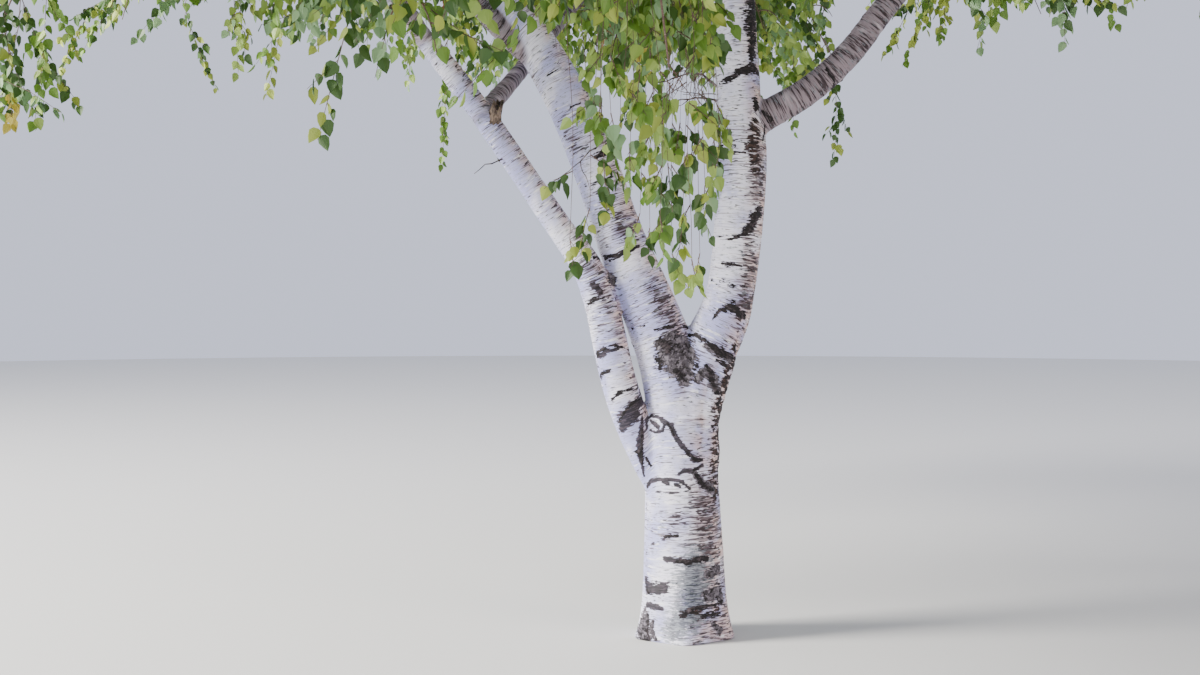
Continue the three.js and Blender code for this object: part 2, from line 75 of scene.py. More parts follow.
# Sizes are in millimetres and angles in degrees. A limb's lean is measured from upright, its heading from
# +X towards +Y, and its width is the diameter, each at a distance along the limb.
LIMBS = {
    "trunk": dict(
        length=1000,
        lean=[(0, 0), (400, 1.5), (1000, 3)],
        heading=[(0, 180)],
        width=[(0, 366), (350, 356), (700, 330), (900, 314), (1000, 322)],
    ),
    "left_bough": dict(
        parent="trunk", joint=830, length=6300,
        lean=[(0, 1), (280, 10), (560, 20.5), (750, 24), (1150, 18.5), (1400, 21), (1600, 24),
              (1830, 30), (2150, 36), (2600, 37), (3600, 24), (6300, 9)],
        heading=[(0, 174), (2600, 172), (6300, 150)],
        width=[(0, 280), (560, 262), (1100, 214), (1700, 201), (2250, 174), (6300, 58)],
    ),
    "right_bough": dict(
        parent="trunk", joint=830, length=7500,
        lean=[(0, 6), (300, 18), (560, 26), (640, 22), (720, 13), (850, 7), (1300, 1.5), (1500, -4),
              (2200, -3), (3400, 8), (7500, 2)],
        heading=[(0, 0), (2200, 0), (7500, -50)],
        width=[(0, 260), (560, 245), (760, 214), (1000, 218), (1400, 230), (1640, 200), (2200, 198),
               (7500, 56)],
    ),
    "low_bough": dict(
        parent="trunk", joint=540, length=3300,
        lean=[(0, 36), (235, 28), (400, 24), (620, 17), (770, 12), (950, 13), (1120, 19), (1300, 37),
              (1560, 34), (1940, 35), (2700, 42), (3300, 40)],
        heading=[(0, 188), (2400, 188), (3300, 178)],
        width=[(0, 150), (600, 161), (900, 157), (1100, 146), (1400, 116), (2000, 108), (3300, 54)],
    ),
    "low_right_limb": dict(
        parent="right_bough", joint=1488, length=2500,
        lean=[(0, 60), (240, 62), (410, 50), (578, 43), (713, 35), (1200, 48), (2500, 68)],
        heading=[(0, -6), (900, -6), (2500, -14)],
        width=[(0, 128), (400, 122), (900, 106), (2500, 46)],
    ),
    "low_back_limb": dict(
        parent="low_bough", joint=2030, length=2500,
        lean=[(0, 60), (500, 56), (1000, 55), (2500, 72)],
        heading=[(0, 68), (1000, 64), (2500, 84)],
        width=[(0, 78), (700, 72), (2500, 40)],
    ),
    "low_front_limb": dict(
        parent="left_bough", joint=2320, length=1650,
        lean=[(0, 60), (600, 66), (1200, 84), (1650, 100)],
        heading=[(0, -80), (1650, -70)],
        width=[(0, 80), (1650, 40)],
    ),
    "low_front_left_limb": dict(
        parent="low_bough", joint=2450, length=2000,
        lean=[(0, 58), (900, 56), (2000, 70)],
        heading=[(0, -112), (2000, -130)],
        width=[(0, 72), (2000, 40)],
    ),
    "middle_left_limb": dict(
        parent="left_bough", joint=1850, length=3000,
        lean=[(0, 62), (250, 48), (500, 34), (1200, 32), (3000, 46)],
        heading=[(0, 190), (1000, 196), (3000, 204)],
        width=[(0, 96), (500, 86), (3000, 42)],
    ),
    "low_back_left_limb": dict(
        parent="left_bough", joint=2600, length=2300,
        lean=[(0, 64), (900, 60), (2300, 74)],
        heading=[(0, 108), (2300, 128)],
        width=[(0, 88), (2300, 42)],
    ),
    "low_front_right_limb": dict(
        parent="right_bough", joint=2260, length=2350,
        lean=[(0, 66), (900, 63), (2350, 76)],
        heading=[(0, -46), (2350, -60)],
        width=[(0, 86), (2350, 42)],
    ),
    "middle_back_limb": dict(
        parent="right_bough", joint=2200, length=2900,
        lean=[(0, 40), (900, 34), (2900, 38)],
        heading=[(0, 140), (2900, 116)],
        width=[(0, 116), (2900, 46)],
    ),
    "low_back_right_limb": dict(
        parent="right_bough", joint=2450, length=2450,
        lean=[(0, 66), (1000, 63), (2450, 76)],
        heading=[(0, 40), (2450, 56)],
        width=[(0, 86), (2450, 42)],
    ),
}


def along(pairs, at):
    """The value at a distance along, from pairs of distance and value."""
    distances, values = zip(*pairs)
    return np.interp(at, distances, values)


def directions(lean, heading):
    """The direction of growth, the level sideways direction and the one square to both."""
    lean, heading = np.radians(lean), np.radians(heading)
    level = np.stack([np.cos(heading), np.sin(heading), np.zeros_like(heading)], -1)
    upright = np.array([0.0, 0.0, 1.0])
    ahead = np.sin(lean)[..., None] * level + np.cos(lean)[..., None] * upright
    side = np.cross(upright, level)
    return ahead, side, np.cross(side, ahead)


def make_path(start, lean, heading, stations):
    """A path of straight stretches between stations, each along the lean and heading at its middle."""
    stations = np.asarray(stations, float)
    middles = (stations[1:] + stations[:-1]) / 2
    ahead = directions(along(lean, middles), along(heading, middles))[0]
    points = np.vstack([start, start + np.cumsum(np.diff(stations)[:, None] * ahead, axis=0)])
    return dict(stations=stations, points=points, lean=lean, heading=heading, length=stations[-1])


def on_path(path, at):
    return np.stack([np.interp(at, path["stations"], path["points"][:, k]) for k in range(3)], -1)


def headings_on(path, at):
    return directions(along(path["lean"], at), along(path["heading"], at))


PATH_STEP = 50
paths = {}
grown = {}  # how far a limb's root is from the ground, measured along the wood


def grow(limbs):
    """Sets out the middle lines of limbs, each from its joint on its parent."""
    for name, limb in limbs.items():
        parent = limb.get("parent")
        start = on_path(paths[parent], limb["joint"]) if parent else np.zeros(3)
        stations = np.linspace(0, limb["length"], math.ceil(limb["length"] / PATH_STEP) + 1)
        paths[name] = make_path(start, limb["lean"], limb["heading"], stations)
        grown[name] = grown[parent] + limb["joint"] if parent else 0


grow(LIMBS)


def is_side_limb(name):
    """Whether a limb leaves a bough, and not the trunk."""
    return LIMBS[name].get("parent") not in (None, "trunk")


COLLAR_SWELL = 0.22  # against the limb's own radius
COLLAR_REACH = 160


def limb_radius(name, at):
    """Half the width, with a collar where a side limb leaves its bough."""
    at = np.clip(at, 0, LIMBS[name]["length"])
    collar = COLLAR_SWELL * np.exp(-at / COLLAR_REACH) if is_side_limb(name) else 0
    return along(LIMBS[name]["width"], at) / 2 * (1 + collar)


def ring_faces(shape):
    """The faces between the rings of tubes, for vertices in the order (tube, ring, side)."""
    index = np.arange(np.prod(shape)).reshape(shape)
    around = np.roll(index, -1, axis=2)
    return np.stack([index[:, :-1], around[:, :-1], around[:, 1:], index[:, 1:]], -1).reshape(-1, 4)


def tubes(points, radii, sides):
    """Tubes round middle lines (tube, ring, 3), with the radii (tube, ring) or (tube, ring, side)."""
    ahead = np.gradient(points, axis=1)
    ahead /= np.linalg.norm(ahead, axis=2, keepdims=True)
    # a tube that is nearly upright is laid out from +Y, and any other from upright
    is_upright = np.abs(ahead.mean(axis=1)[:, 2:]) > 0.9
    across = np.where(is_upright, [0.0, 1.0, 0.0], [0.0, 0.0, 1.0])[:, None]
    side = np.cross(across, ahead)
    side /= np.linalg.norm(side, axis=2, keepdims=True)
    over = np.cross(ahead, side)
    angle = np.arange(sides) * 2 * np.pi / sides
    out = side[:, :, None] * np.cos(angle)[:, None] + over[:, :, None] * np.sin(angle)[:, None]
    radii = radii[..., None] if radii.ndim == 2 else radii
    vertices = points[:, :, None] + out * radii[..., None]
    return vertices.reshape(-1, 3), ring_faces(vertices.shape[:3])


def joined(parts):
    """Several lots of vertices and faces as one."""
    offsets = np.cumsum([0] + [len(vertices) for vertices, _ in parts[:-1]])
    faces = [faces + offset for (_, faces), offset in zip(parts, offsets)]
    return np.vstack([vertices for vertices, _ in parts]), np.vstack(faces)


def new_piece(name, vertices, faces, smooth=True):
    """An object from vertices in millimetres and faces of equally many corners."""
    mesh = bpy.data.meshes.new(name)
    mesh.vertices.add(len(vertices))
    mesh.vertices.foreach_set("co", (vertices / 1000).astype(np.float32).ravel())
    mesh.loops.add(faces.size)
    mesh.loops.foreach_set("vertex_index", faces.astype(np.int32).ravel())
    mesh.polygons.add(len(faces))
    mesh.polygons.foreach_set("loop_start", np.arange(0, faces.size, faces.shape[1], dtype=np.int32))
    mesh.polygons.foreach_set("use_smooth", np.full(len(faces), smooth))
    mesh.update(calc_edges=True)
    piece = bpy.data.objects.new(name, mesh)
    bpy.context.scene.collection.objects.link(piece)
    return piece


# the tubes to be fused shrink to nearly a point, a hundredth of a step beyond their ends
END_RADIUS = 0.05
END_STEP = 0.01


def limb_tube(name, first, last, spacing, sides, closed):
    """A limb's round skin between two distances."""
    at = np.linspace(first, last, max(3, round((last - first) / spacing) + 1))
    radii = limb_radius(name, at)
    points = on_path(paths[name], at)
    if closed:
        before = points[:1] - END_STEP * (points[1] - points[0])
        beyond = points[-1:] + END_STEP * (points[-1] - points[-2])
        points = np.vstack([before, points, beyond])
        radii = np.concatenate([[END_RADIUS], radii, [END_RADIUS]])
    return tubes(points[None], radii[None], sides)


def fused(parts, square):
    """One skin over solids that overlap, remade in squares of that size."""
    shape = new_piece("shape", *joined(parts))
    skin = shape.modifiers.new("skin", "REMESH")
    skin.mode = "VOXEL"
    skin.voxel_size = square / 1000
    evaluated = shape.evaluated_get(bpy.context.evaluated_depsgraph_get())
    mesh = evaluated.to_mesh()
    vertices = np.empty(len(mesh.vertices) * 3, np.float32)
    mesh.vertices.foreach_get("co", vertices)
    corners = np.empty(len(mesh.loops), np.int32)
    mesh.loops.foreach_get("vertex_index", corners)
    evaluated.to_mesh_clear()
    bpy.data.objects.remove(shape)
    return vertices.reshape(-1, 3).astype(float) * 1000, corners.reshape(-1, 4)


TRUNK_LENGTH = LIMBS["trunk"]["length"]
TRUNK_SIDES = 72
TRUNK_STEP = 20
TRUNK_SQUARE = 5.6
trunk_at = np.concatenate([[0], np.arange(0, TRUNK_LENGTH + 1, TRUNK_STEP), [TRUNK_LENGTH]])
trunk_points = on_path(paths["trunk"], trunk_at)
trunk_points[[0, -1], 2] += [-END_STEP, END_STEP]
trunk_angle = np.pi / 2 + np.arange(TRUNK_SIDES) * 2 * np.pi / TRUNK_SIDES
# the foot flares out over its roots
ROOTS = 5
FLARE, ROOT_RIDGE, FLARE_HEIGHT = 34, 16, 130
flare = np.exp(-trunk_at / FLARE_HEIGHT)[:, None] * (FLARE + ROOT_RIDGE * np.cos(ROOTS * trunk_angle))
trunk_radii = limb_radius("trunk", trunk_at)[:, None] + flare
trunk_radii[[0, -1]] = END_RADIUS
# how far up each bough the trunk's skin reaches, and the sides of its tube there
BOUGH_FEET = {"left_bough": (716, 64), "right_bough": (716, 64), "low_bough": (640, 48)}
trunk_parts = [tubes(trunk_points[None], trunk_radii[None], TRUNK_SIDES)]
for name, (top, sides) in BOUGH_FEET.items():
    trunk_parts.append(limb_tube(name, 0, top, TRUNK_STEP, sides, True))
trunk_skin = fused(trunk_parts, TRUNK_SQUARE)

# the stretch of each bough and of its limbs that is in the boughs' skin, which starts inside the trunk's
SKIN_OVERLAP = 20
BOUGH_SQUARE = 8.8
BOUGH_STEP = 25
BOUGH_SIDES = 48
BOUGH_STRETCHES = {
    "left_bough": (BOUGH_FEET["left_bough"][0] - SKIN_OVERLAP, 2900),
    "right_bough": (BOUGH_FEET["right_bough"][0] - SKIN_OVERLAP, 2560),
    "low_bough": (BOUGH_FEET["low_bough"][0] - SKIN_OVERLAP, 2500),
    "low_right_limb": (0, 1500),
    "low_back_limb": (0, 900),
    "low_front_limb": (0, 800),
    "low_front_left_limb": (0, 500),
    "middle_left_limb": (0, 1300),
    "low_back_left_limb": (0, 400),
    "low_front_right_limb": (0, 500),
    "middle_back_limb": (0, 500),
    "low_back_right_limb": (0, 400),
}
bough_parts = [
    limb_tube(name, *stretch, BOUGH_STEP, BOUGH_SIDES, True) for name, stretch in BOUGH_STRETCHES.items()
]
bough_skin = fused(bough_parts, BOUGH_SQUARE)


# large uneven numbers that scatter the heights of lumps; they measure nothing
SCATTER = [127.1, 311.7, 74.7]
SEED_SCATTER = 19.19
SINE_SCATTER = 43758.5453


def lumps(points, size, seed):
    """Soft lumps of about one size, from -1 to 1, the same for the same place and seed."""
    place = points / size
    cell = np.floor(place)
    part = place - cell
    part = part * part * (3 - 2 * part)
    total = np.zeros(len(points))
    for corner in np.ndindex(2, 2, 2):
        value = np.sin((cell + corner) @ SCATTER + seed * SEED_SCATTER) * SINE_SCATTER
        weight = np.prod(np.where(corner, part, 1 - part), axis=1)
        total += weight * (2 * (value - np.floor(value)) - 1)
    return total


LIMB_STEP = 20
POINTS_AT_ONCE = 20000  # so that the table of distances stays small


def place_on_limb(points, name):
    """How far along a limb each point is, and how far outside the limb's round skin."""
    length = LIMBS[name]["length"]
    stations = np.linspace(0, length, length // LIMB_STEP + 1)
    middle = on_path(paths[name], stations)
    ahead = headings_on(paths[name], stations)[0]
    nearest = np.concatenate([
        np.argmin((middle ** 2).sum(axis=1) - 2 * some @ middle.T, axis=1)
        for some in np.array_split(points, len(points) // POINTS_AT_ONCE + 1)
    ])
    away = points - middle[nearest]
    beyond = (away * ahead[nearest]).sum(axis=1)
    distance = stations[nearest] + beyond
    past = distance - np.clip(distance, 0, length)
    away -= beyond[:, None] * ahead[nearest]
    gap = np.hypot(np.linalg.norm(away, axis=1), past) - limb_radius(name, distance)
    return distance, gap


# the widths at which a bough's bark starts to turn white, and is all white
YOUNG_WIDTH, OLD_WIDTH = 60, 96


def limb_youth(name, at):
    """0 where the bark is white and old, and 1 where it is thin, grey and brown."""
    thin = np.clip((OLD_WIDTH - 2 * limb_radius(name, at)) / (OLD_WIDTH - YOUNG_WIDTH), 0, 1)
    return np.maximum(thin, is_side_limb(name))


BLEND = 14  # over about this distance the bark of one limb turns into another's


def bark_map(points, names):
    """How far up the wood each point is, how young its bark is, and 0.5 where two limbs meet."""
    places = [place_on_limb(points, name) for name in names]
    gaps = np.stack([gap for _, gap in places])
    shares = np.exp(-(gaps - gaps.min(axis=0)) / BLEND)
    shares /= shares.sum(axis=0)
    height = sum(share * (grown[name] + at) for share, name, (at, _) in zip(shares, names, places))
    youth = sum(share * limb_youth(name, at) for share, name, (at, _) in zip(shares, names, places))
    return height, youth, 1 - shares.max(axis=0)


# A birch keeps a black scar wherever it dropped a branch: brows, rings, eyes and cracks. Each row is a
# kind of mark and the line that it follows, as distances across and up the tree seen from the front, with
# half the mark's width there.
MARKS = [
    ("rugged", [(-105, 1315, 33), (-65, 1260, 60), (-15, 1220, 58), (-10, 1170, 33)]),
    ("rugged", [(-85, 1350, 27), (-25, 1325, 48), (15, 1265, 39)]),
    ("black", [(-115, 1340, 13), (-80, 1315, 19), (-85, 1285, 10)]),
    ("black", [(-135, 1265, 10), (-115, 1240, 12), (-115, 1205, 7)]),
    ("black", [(-50, 1205, 10), (-25, 1185, 12)]),
    ("black", [(-140, 1385, 5), (-75, 1400, 8), (5, 1395, 10)]),
    ("black", [(-240, 1390, 4), (-185, 1405, 5)]),
    ("black", [(15, 1360, 8), (60, 1360, 9), (70, 1335, 6)]),
    ("black", [(75, 1345, 8), (115, 1315, 13), (165, 1280, 16), (210, 1260, 8)]),
    ("rugged", [(50, 1165, 17), (80, 1200, 25), (115, 1175, 25), (125, 1120, 18)]),
    ("black", [(90, 1230, 7), (110, 1205, 9), (110, 1165, 10), (125, 1110, 8)]),
    ("black", [(50, 1230, 10), (35, 1205, 8)]),
    ("black", [(135, 1075, 8), (125, 1060, 12)]),
    ("rugged", [(90, 1315, 15), (140, 1290, 23), (185, 1265, 19)]),
    ("black", [(135, 1250, 7), (170, 1235, 10), (200, 1235, 7)]),
    ("rugged", [(40, 750, 15), (70, 705, 21), (115, 675, 21)]),
    ("black", [(45, 745, 8), (70, 700, 10), (115, 675, 9)]),
    ("grey", [(-175, 945, 5), (-175, 980, 9), (-150, 1000, 9), (-115, 995, 9), (-95, 970, 9),
        (-105, 940, 7), (-135, 930, 6), (-160, 940, 5)]),
    ("grey", [(-155, 980, 8), (-135, 965, 12), (-125, 955, 10)]),
    ("grey", [(-105, 985, 9), (-70, 965, 12), (-55, 930, 13), (-40, 900, 11), (-15, 870, 11),
        (15, 835, 12), (35, 810, 13), (70, 810, 8)]),
    ("black", [(-85, 975, 4), (-65, 945, 5), (-55, 920, 3)]),
    ("black", [(-10, 855, 3), (20, 830, 5), (40, 810, 7), (65, 810, 5)]),
    ("grey", [(-35, 750, 6), (-10, 765, 9), (30, 765, 10), (70, 785, 9)]),
    ("black", [(30, 765, 4), (65, 780, 5)]),
    ("grey", [(-190, 665, 6), (-170, 680, 8), (-155, 710, 9), (-115, 725, 8), (-65, 725, 8),
        (-20, 715, 8), (15, 685, 7)]),
    ("grey", [(-180, 665, 4), (-125, 665, 5), (-65, 665, 5), (5, 675, 4)]),
    ("black", [(-190, 665, 3), (-170, 685, 4), (-160, 700, 3)]),
    ("grey", [(-105, 715, 8), (-80, 705, 8)]),
    ("grey", [(-50, 705, 8), (-30, 695, 7)]),
    ("grey", [(-195, 995, 7), (-200, 940, 11), (-205, 890, 16), (-205, 830, 15), (-195, 785, 8),
        (-185, 730, 5)]),
    ("black", [(-195, 940, 4), (-195, 880, 5), (-200, 835, 6), (-190, 775, 3)]),
    ("black", [(-215, 845, 12), (-195, 815, 9)]),
    ("black", [(-180, 820, 4), (-155, 780, 5)]),
    ("fissure", [(-175, 605, 6), (-175, 565, 6), (-175, 525, 4)]),
    ("dash", [(30, 650, 62), (70, 525, 79), (80, 400, 73), (70, 320, 52)]),
    ("dash", [(-30, 570, 31), (-85, 485, 31)]),
    ("dash", [(155, 625, 35), (170, 515, 41), (180, 390, 46), (185, 300, 35)]),
    ("dash", [(45, 320, 41), (20, 215, 48), (30, 135, 41)]),
    ("grey", [(-95, 375, 10), (-60, 370, 13), (-10, 365, 15)]),
    ("black", [(-40, 365, 5), (0, 360, 10), (40, 370, 12), (90, 375, 9)]),
    ("black", [(-95, 470, 7), (-40, 480, 6)]),
    ("grime", [(30, 370, 41), (30, 310, 64), (40, 235, 75), (30, 175, 68), (-10, 110, 58), (-55, 60, 46)]),
    ("rugged", [(95, 305, 19), (140, 320, 21)]),
    ("rugged", [(90, 210, 25), (135, 225, 33), (155, 185, 19)]),
    ("black", [(-15, 135, 15), (25, 160, 8), (90, 160, 8), (155, 170, 8)]),
    ("black", [(70, 115, 8), (115, 125, 10), (150, 125, 8)]),
    ("brown", [(20, 145, 10), (70, 140, 12), (140, 145, 12)]),
    ("rugged", [(120, 80, 12), (150, 50, 17)]),
    ("grey", [(-175, 265, 17), (-165, 230, 25), (-125, 235, 31), (-95, 245, 23)]),
    ("black", [(-175, 250, 4), (-165, 210, 6), (-155, 205, 4)]),
    ("grey", [(-170, 155, 12), (-135, 155, 15), (-105, 150, 8)]),
    ("rugged", [(-170, 115, 12), (-175, 80, 23), (-190, 45, 27), (-175, 10, 27)]),
    ("rugged", [(-145, 90, 8), (-155, 50, 12), (-135, 15, 10)]),
    ("fissure", [(-165, 90, 4), (-170, 40, 5), (-160, 10, 4)]),
    ("black", [(-395, 1275, 10), (-365, 1305, 8), (-310, 1315, 8), (-255, 1295, 5)]),
    ("grey", [(-385, 1270, 12), (-355, 1290, 12), (-300, 1305, 8)]),
    ("black", [(-380, 1175, 9), (-365, 1195, 9), (-340, 1205, 7)]),
    ("black", [(-330, 1075, 8), (-300, 1105, 8), (-260, 1120, 6), (-205, 1115, 5)]),
    ("grey", [(-285, 940, 15), (-270, 980, 35), (-240, 1025, 39), (-215, 1055, 25), (-195, 1065, 15)]),
    ("black", [(-295, 980, 4), (-270, 1025, 5), (-235, 1065, 6), (-200, 1080, 6)]),
    ("grey", [(-255, 980, 21), (-215, 1010, 15)]),
    ("black", [(-425, 1505, 9), (-405, 1525, 8), (-360, 1530, 4)]),
    ("black", [(120, 1435, 5), (150, 1475, 9), (195, 1485, 19), (235, 1465, 21), (260, 1445, 12)]),
    ("black", [(-445, 1500, 4), (-415, 1515, 5), (-380, 1525, 5), (-325, 1525, 4)]),
    ("black", [(-435, 1500, 5), (-410, 1510, 5)]),
    ("fissure", [(-435, 1705, 4), (-390, 1670, 4), (-340, 1590, 4), (-305, 1505, 4), (-275, 1420, 4),
        (-250, 1340, 4), (-230, 1250, 4)]),
    ("grey", [(-410, 1585, 14), (-380, 1555, 14)]),
    ("dash", [(-450, 1685, 30), (-400, 1585, 30), (-365, 1495, 30)]),
    ("black", [(-410, 1705, 7), (-355, 1705, 12), (-305, 1715, 14), (-260, 1730, 12), (-210, 1760, 7)]),
    ("dash", [(-140, 1560, 38), (-105, 1495, 38), (-70, 1430, 38)]),
    ("black", [(-670, 2465, 6), (-650, 2475, 6)]),
    ("black", [(-515, 2375, 4), (-470, 2395, 4)]),
    ("black", [(-410, 2165, 4), (-360, 2195, 4)]),
    ("black", [(-580, 2545, 4), (-615, 2515, 4)]),
    ("black", [(-450, 2030, 4), (-380, 2045, 7), (-330, 2070, 4)]),
    ("dash", [(-380, 2005, 34), (-315, 1895, 34), (-260, 1785, 34)]),
    ("dash", [(-560, 2320, 30), (-480, 2185, 30)]),
    ("dash", [(265, 1785, 36), (265, 1685, 36), (260, 1585, 36), (265, 1505, 36)]),
    ("black", [(160, 1680, 5), (200, 1675, 9), (245, 1670, 5)]),
    ("black", [(115, 1605, 4), (160, 1600, 5), (210, 1590, 4)]),
    ("black", [(135, 1585, 4), (195, 1575, 5), (260, 1580, 4)]),
    ("black", [(150, 2480, 5), (185, 2500, 8), (230, 2520, 9), (280, 2535, 8), (335, 2540, 5)]),
    ("black", [(215, 2510, 7), (275, 2520, 7)]),
    ("black", [(300, 2880, 36), (295, 2810, 38), (285, 2740, 32), (295, 2670, 24), (285, 2585, 14)]),
    ("dash", [(290, 2270, 34), (305, 2135, 34), (310, 2005, 34)]),
    ("black", [(160, 2185, 4), (205, 2170, 7), (260, 2170, 4)]),
    ("black", [(140, 2345, 4), (180, 2330, 4)]),
    ("brown", [(320, 2870, 26), (310, 2760, 24), (310, 2680, 18)]),
    ("black", [(150, 1800, 4), (200, 1790, 6), (250, 1805, 11), (285, 1845, 20), (310, 1885, 27),
        (330, 1920, 24)]),
    ("brown", [(310, 2295, 26), (290, 2190, 26), (310, 2100, 22)]),
    ("black", [(340, 2355, 8), (375, 2315, 11), (415, 2270, 9)]),
    ("black", [(350, 2295, 4), (350, 2260, 6), (340, 2225, 5)]),
    ("black", [(160, 2205, 4), (215, 2200, 5)]),
    ("black", [(620, 2540, 7), (650, 2505, 10), (655, 2460, 8)]),
    ("black", [(-400, 2150, 8), (-370, 2170, 13), (-350, 2190, 9)]),
    ("black", [(165, 2480, 6), (205, 2500, 10), (245, 2535, 17), (290, 2545, 22), (320, 2530, 14)]),
    ("black", [(305, 2405, 14), (310, 2380, 16), (305, 2360, 8)]),
    ("brown", [(-800, 2320, 16), (-770, 2260, 20), (-730, 2200, 16), (-700, 2140, 12)]),
    ("black", [(-790, 2300, 5), (-765, 2250, 8), (-740, 2205, 6)]),
]
# black scars, grey and brown cork, dark grey scars, cracks, mouldy grime and crowded pores
KINDS = ["black", "rugged", "brown", "grey", "fissure", "grime", "dash"]
sheets = [BVHTree.FromPolygons(skin[0].tolist(), skin[1].tolist()) for skin in (trunk_skin, bough_skin)]
OUTSIDE = 3000  # from the tree's middle, well clear of the trunk and boughs


def on_skin(x, z, turn=0.0):
    """Where the wood is seen at that place, by a viewer who stands a turn to the right of the front."""
    way = np.array([-math.sin(turn), math.cos(turn), 0])
    hits = [sheet.ray_cast(np.array([x, 0, z]) - OUTSIDE * way, way) for sheet in sheets]
    hits = [(hit[3], hit[0][:]) for hit in hits if hit[0]]
    return min(hits)[1] if hits else None


# a point beside the wood is left out of its mark
marks = []
for kind, line in MARKS:
    points = [(*on_skin(x, z), half) for x, z, half in line if on_skin(x, z)]
    if len(points) > 1:
        marks.append((kind, np.array(points)))

# a corky brown seam stands out along the right side, from the crotch down the trunk
SEAM_TURN = 0.95  # radians
SEAM = [
    (95, 1330, 12), (80, 1240, 24), (62, 1160, 36), (50, 1080, 40), (40, 1000, 40), (40, 920, 42),
    (40, 840, 50), (30, 760, 56), (30, 690, 44), (20, 640, 26),
]
marks.append(("brown", np.array([(*on_skin(x, z, SEAM_TURN), half) for x, z, half in SEAM])))

# The sides and the back, which the front view leaves out, carry the same kinds of scar, put there by
# chance: for each limb, the stretch that has them and their number.
SCARRED = [
    ("trunk", 120, 980, 15),
    ("left_bough", 150, 2900, 26),
    ("right_bough", 150, 2500, 24),
    ("low_bough", 420, 2400, 22),
    ("low_right_limb", 60, 1300, 16),
    ("middle_left_limb", 60, 900, 9),
]
# half the width against half the length
SCAR_SHARES = {"black": 0.16, "rugged": 0.5, "dash": 0.9, "grey": 0.4}
LEAST_HALF = 4
ROOT_SCARS = 10
chance = np.random.default_rng(41)


def round_limb(name, at, angles):
    """Points round a limb's skin, by angles in radians from its front towards its right."""
    middle = on_path(paths[name], at)
    ahead = headings_on(paths[name], at)[0]
    front = np.array([0, -1.0, 0]) + ahead[..., 1:2] * ahead
    front /= np.linalg.norm(front, axis=-1, keepdims=True)
    right = np.cross(ahead, front)
    out = front * np.cos(angles)[..., None] + right * np.sin(angles)[..., None]
    return middle + out * limb_radius(name, at)[..., None]


def add_mark(kind, line, halves):
    marks.append((str(kind), np.column_stack([line, halves])))


shares = np.linspace(-1, 1, 9)
bulge = 1 - shares ** 2
for name, lowest, highest, count in SCARRED:
    for turn in range(count):
        at = lowest + (highest - lowest) * (turn + chance.random()) / count
        middle = np.pi + chance.uniform(-1.3, 1.3)
        spread = chance.uniform(0.25, 0.8)
        kind = chance.choice(["black", "black", "black", "rugged", "dash", "grey"])
        width = spread * limb_radius(name, at)
        arch = chance.choice([0, 0.2, 0.9]) * width if kind == "black" else 0
        half = width * SCAR_SHARES[kind] * chance.uniform(0.6, 1.3)
        line = round_limb(name, at + arch * (bulge - 1), middle + spread * shares)
        add_mark(kind, line, np.maximum(half * (0.3 + 0.7 * bulge), LEAST_HALF))
# cork climbs from the ground at the back and sides of the foot, narrower as it goes
for turn in range(ROOT_SCARS):
    angle = np.pi * (0.4 + 1.3 * chance.random())
    at = np.array([0, 60, 110 + 190 * chance.random()])
    halves = chance.uniform(22, 46) * np.array([1.2, 1, 0.4])
    add_mark("rugged", round_limb("trunk", at, np.full(3, angle)), halves)
# cork behind the fork, and a second brown seam towards the back of the right side
BACK_CORK = [(-70, 90, 1290), (-10, 130, 1240), (60, 90, 1290)]
add_mark("rugged", np.array(BACK_CORK), [40, 62, 40])
back_seam_at = np.linspace(300, 980, 9)
add_mark("brown", round_limb("trunk", back_seam_at, np.full(9, 2.0)), np.full(9, 20.0))


def marked(points, kind):
    """1 on the line of a mark of that kind, a half at its edge and 0 at twice its half width."""
    strength = np.zeros(len(points))
    for line in [line for its_kind, line in marks if its_kind == kind]:
        widest = 2 * line[:, 3].max()
        low, high = line[:, :3].min(axis=0) - widest, line[:, :3].max(axis=0) + widest
        near = np.flatnonzero(np.all((points > low) & (points < high), axis=1))
        for start, stop in zip(line[:-1], line[1:]):
            run = (stop - start)[:3]
            share = np.clip((points[near] - start[:3]) @ run / max(run @ run, 1), 0, 1)
            reach = np.linalg.norm(points[near] - start[:3] - share[:, None] * run, axis=1)
            half = start[3] + share * (stop[3] - start[3])
            strength[near] = np.maximum(strength[near], 1 - reach / (2 * half))
    return strength


def neighbours_mean(values, faces, count):
    """The mean of each vertex's neighbours along the faces' edges."""
    one = faces.ravel()
    other = np.roll(faces, -1, axis=1).ravel()
    total = np.zeros_like(values)
    for k in range(values.shape[1]):
        total[:, k] = np.bincount(one, values[other, k], count) + np.bincount(other, values[one, k], count)
    return total / (np.bincount(one, minlength=count) + np.bincount(other, minlength=count))[:, None]


def outward(vertices, faces):
    """The direction out of the skin at each vertex."""
    a, b, c, d = (vertices[faces[:, k]] for k in range(4))
    square = np.cross(c - a, d - b)
    total = np.stack([
        sum(np.bincount(faces[:, corner], square[:, k], len(vertices)) for corner in range(4))
        for k in range(3)
    ], -1)
    return total / np.maximum(np.linalg.norm(total, axis=1, keepdims=True), 1e-9)


def bark_piece(name, vertices, faces, height, youth, kinds):
    """A piece of bark with the places that its material is laid out by."""
    piece = new_piece(name, vertices, faces)
    grain = np.column_stack([vertices[:, 0], vertices[:, 1], height]) / 1000
    laid_out = piece.data.attributes.new("grain", "FLOAT_VECTOR", "POINT")
    laid_out.data.foreach_set("vector", grain.astype(np.float32).ravel())
    for kind, value in {**kinds, "youth": youth}.items():
        laid_out = piece.data.attributes.new(kind, "FLOAT", "POINT")
        laid_out.data.foreach_set("value", value.astype(np.float32))
    return piece


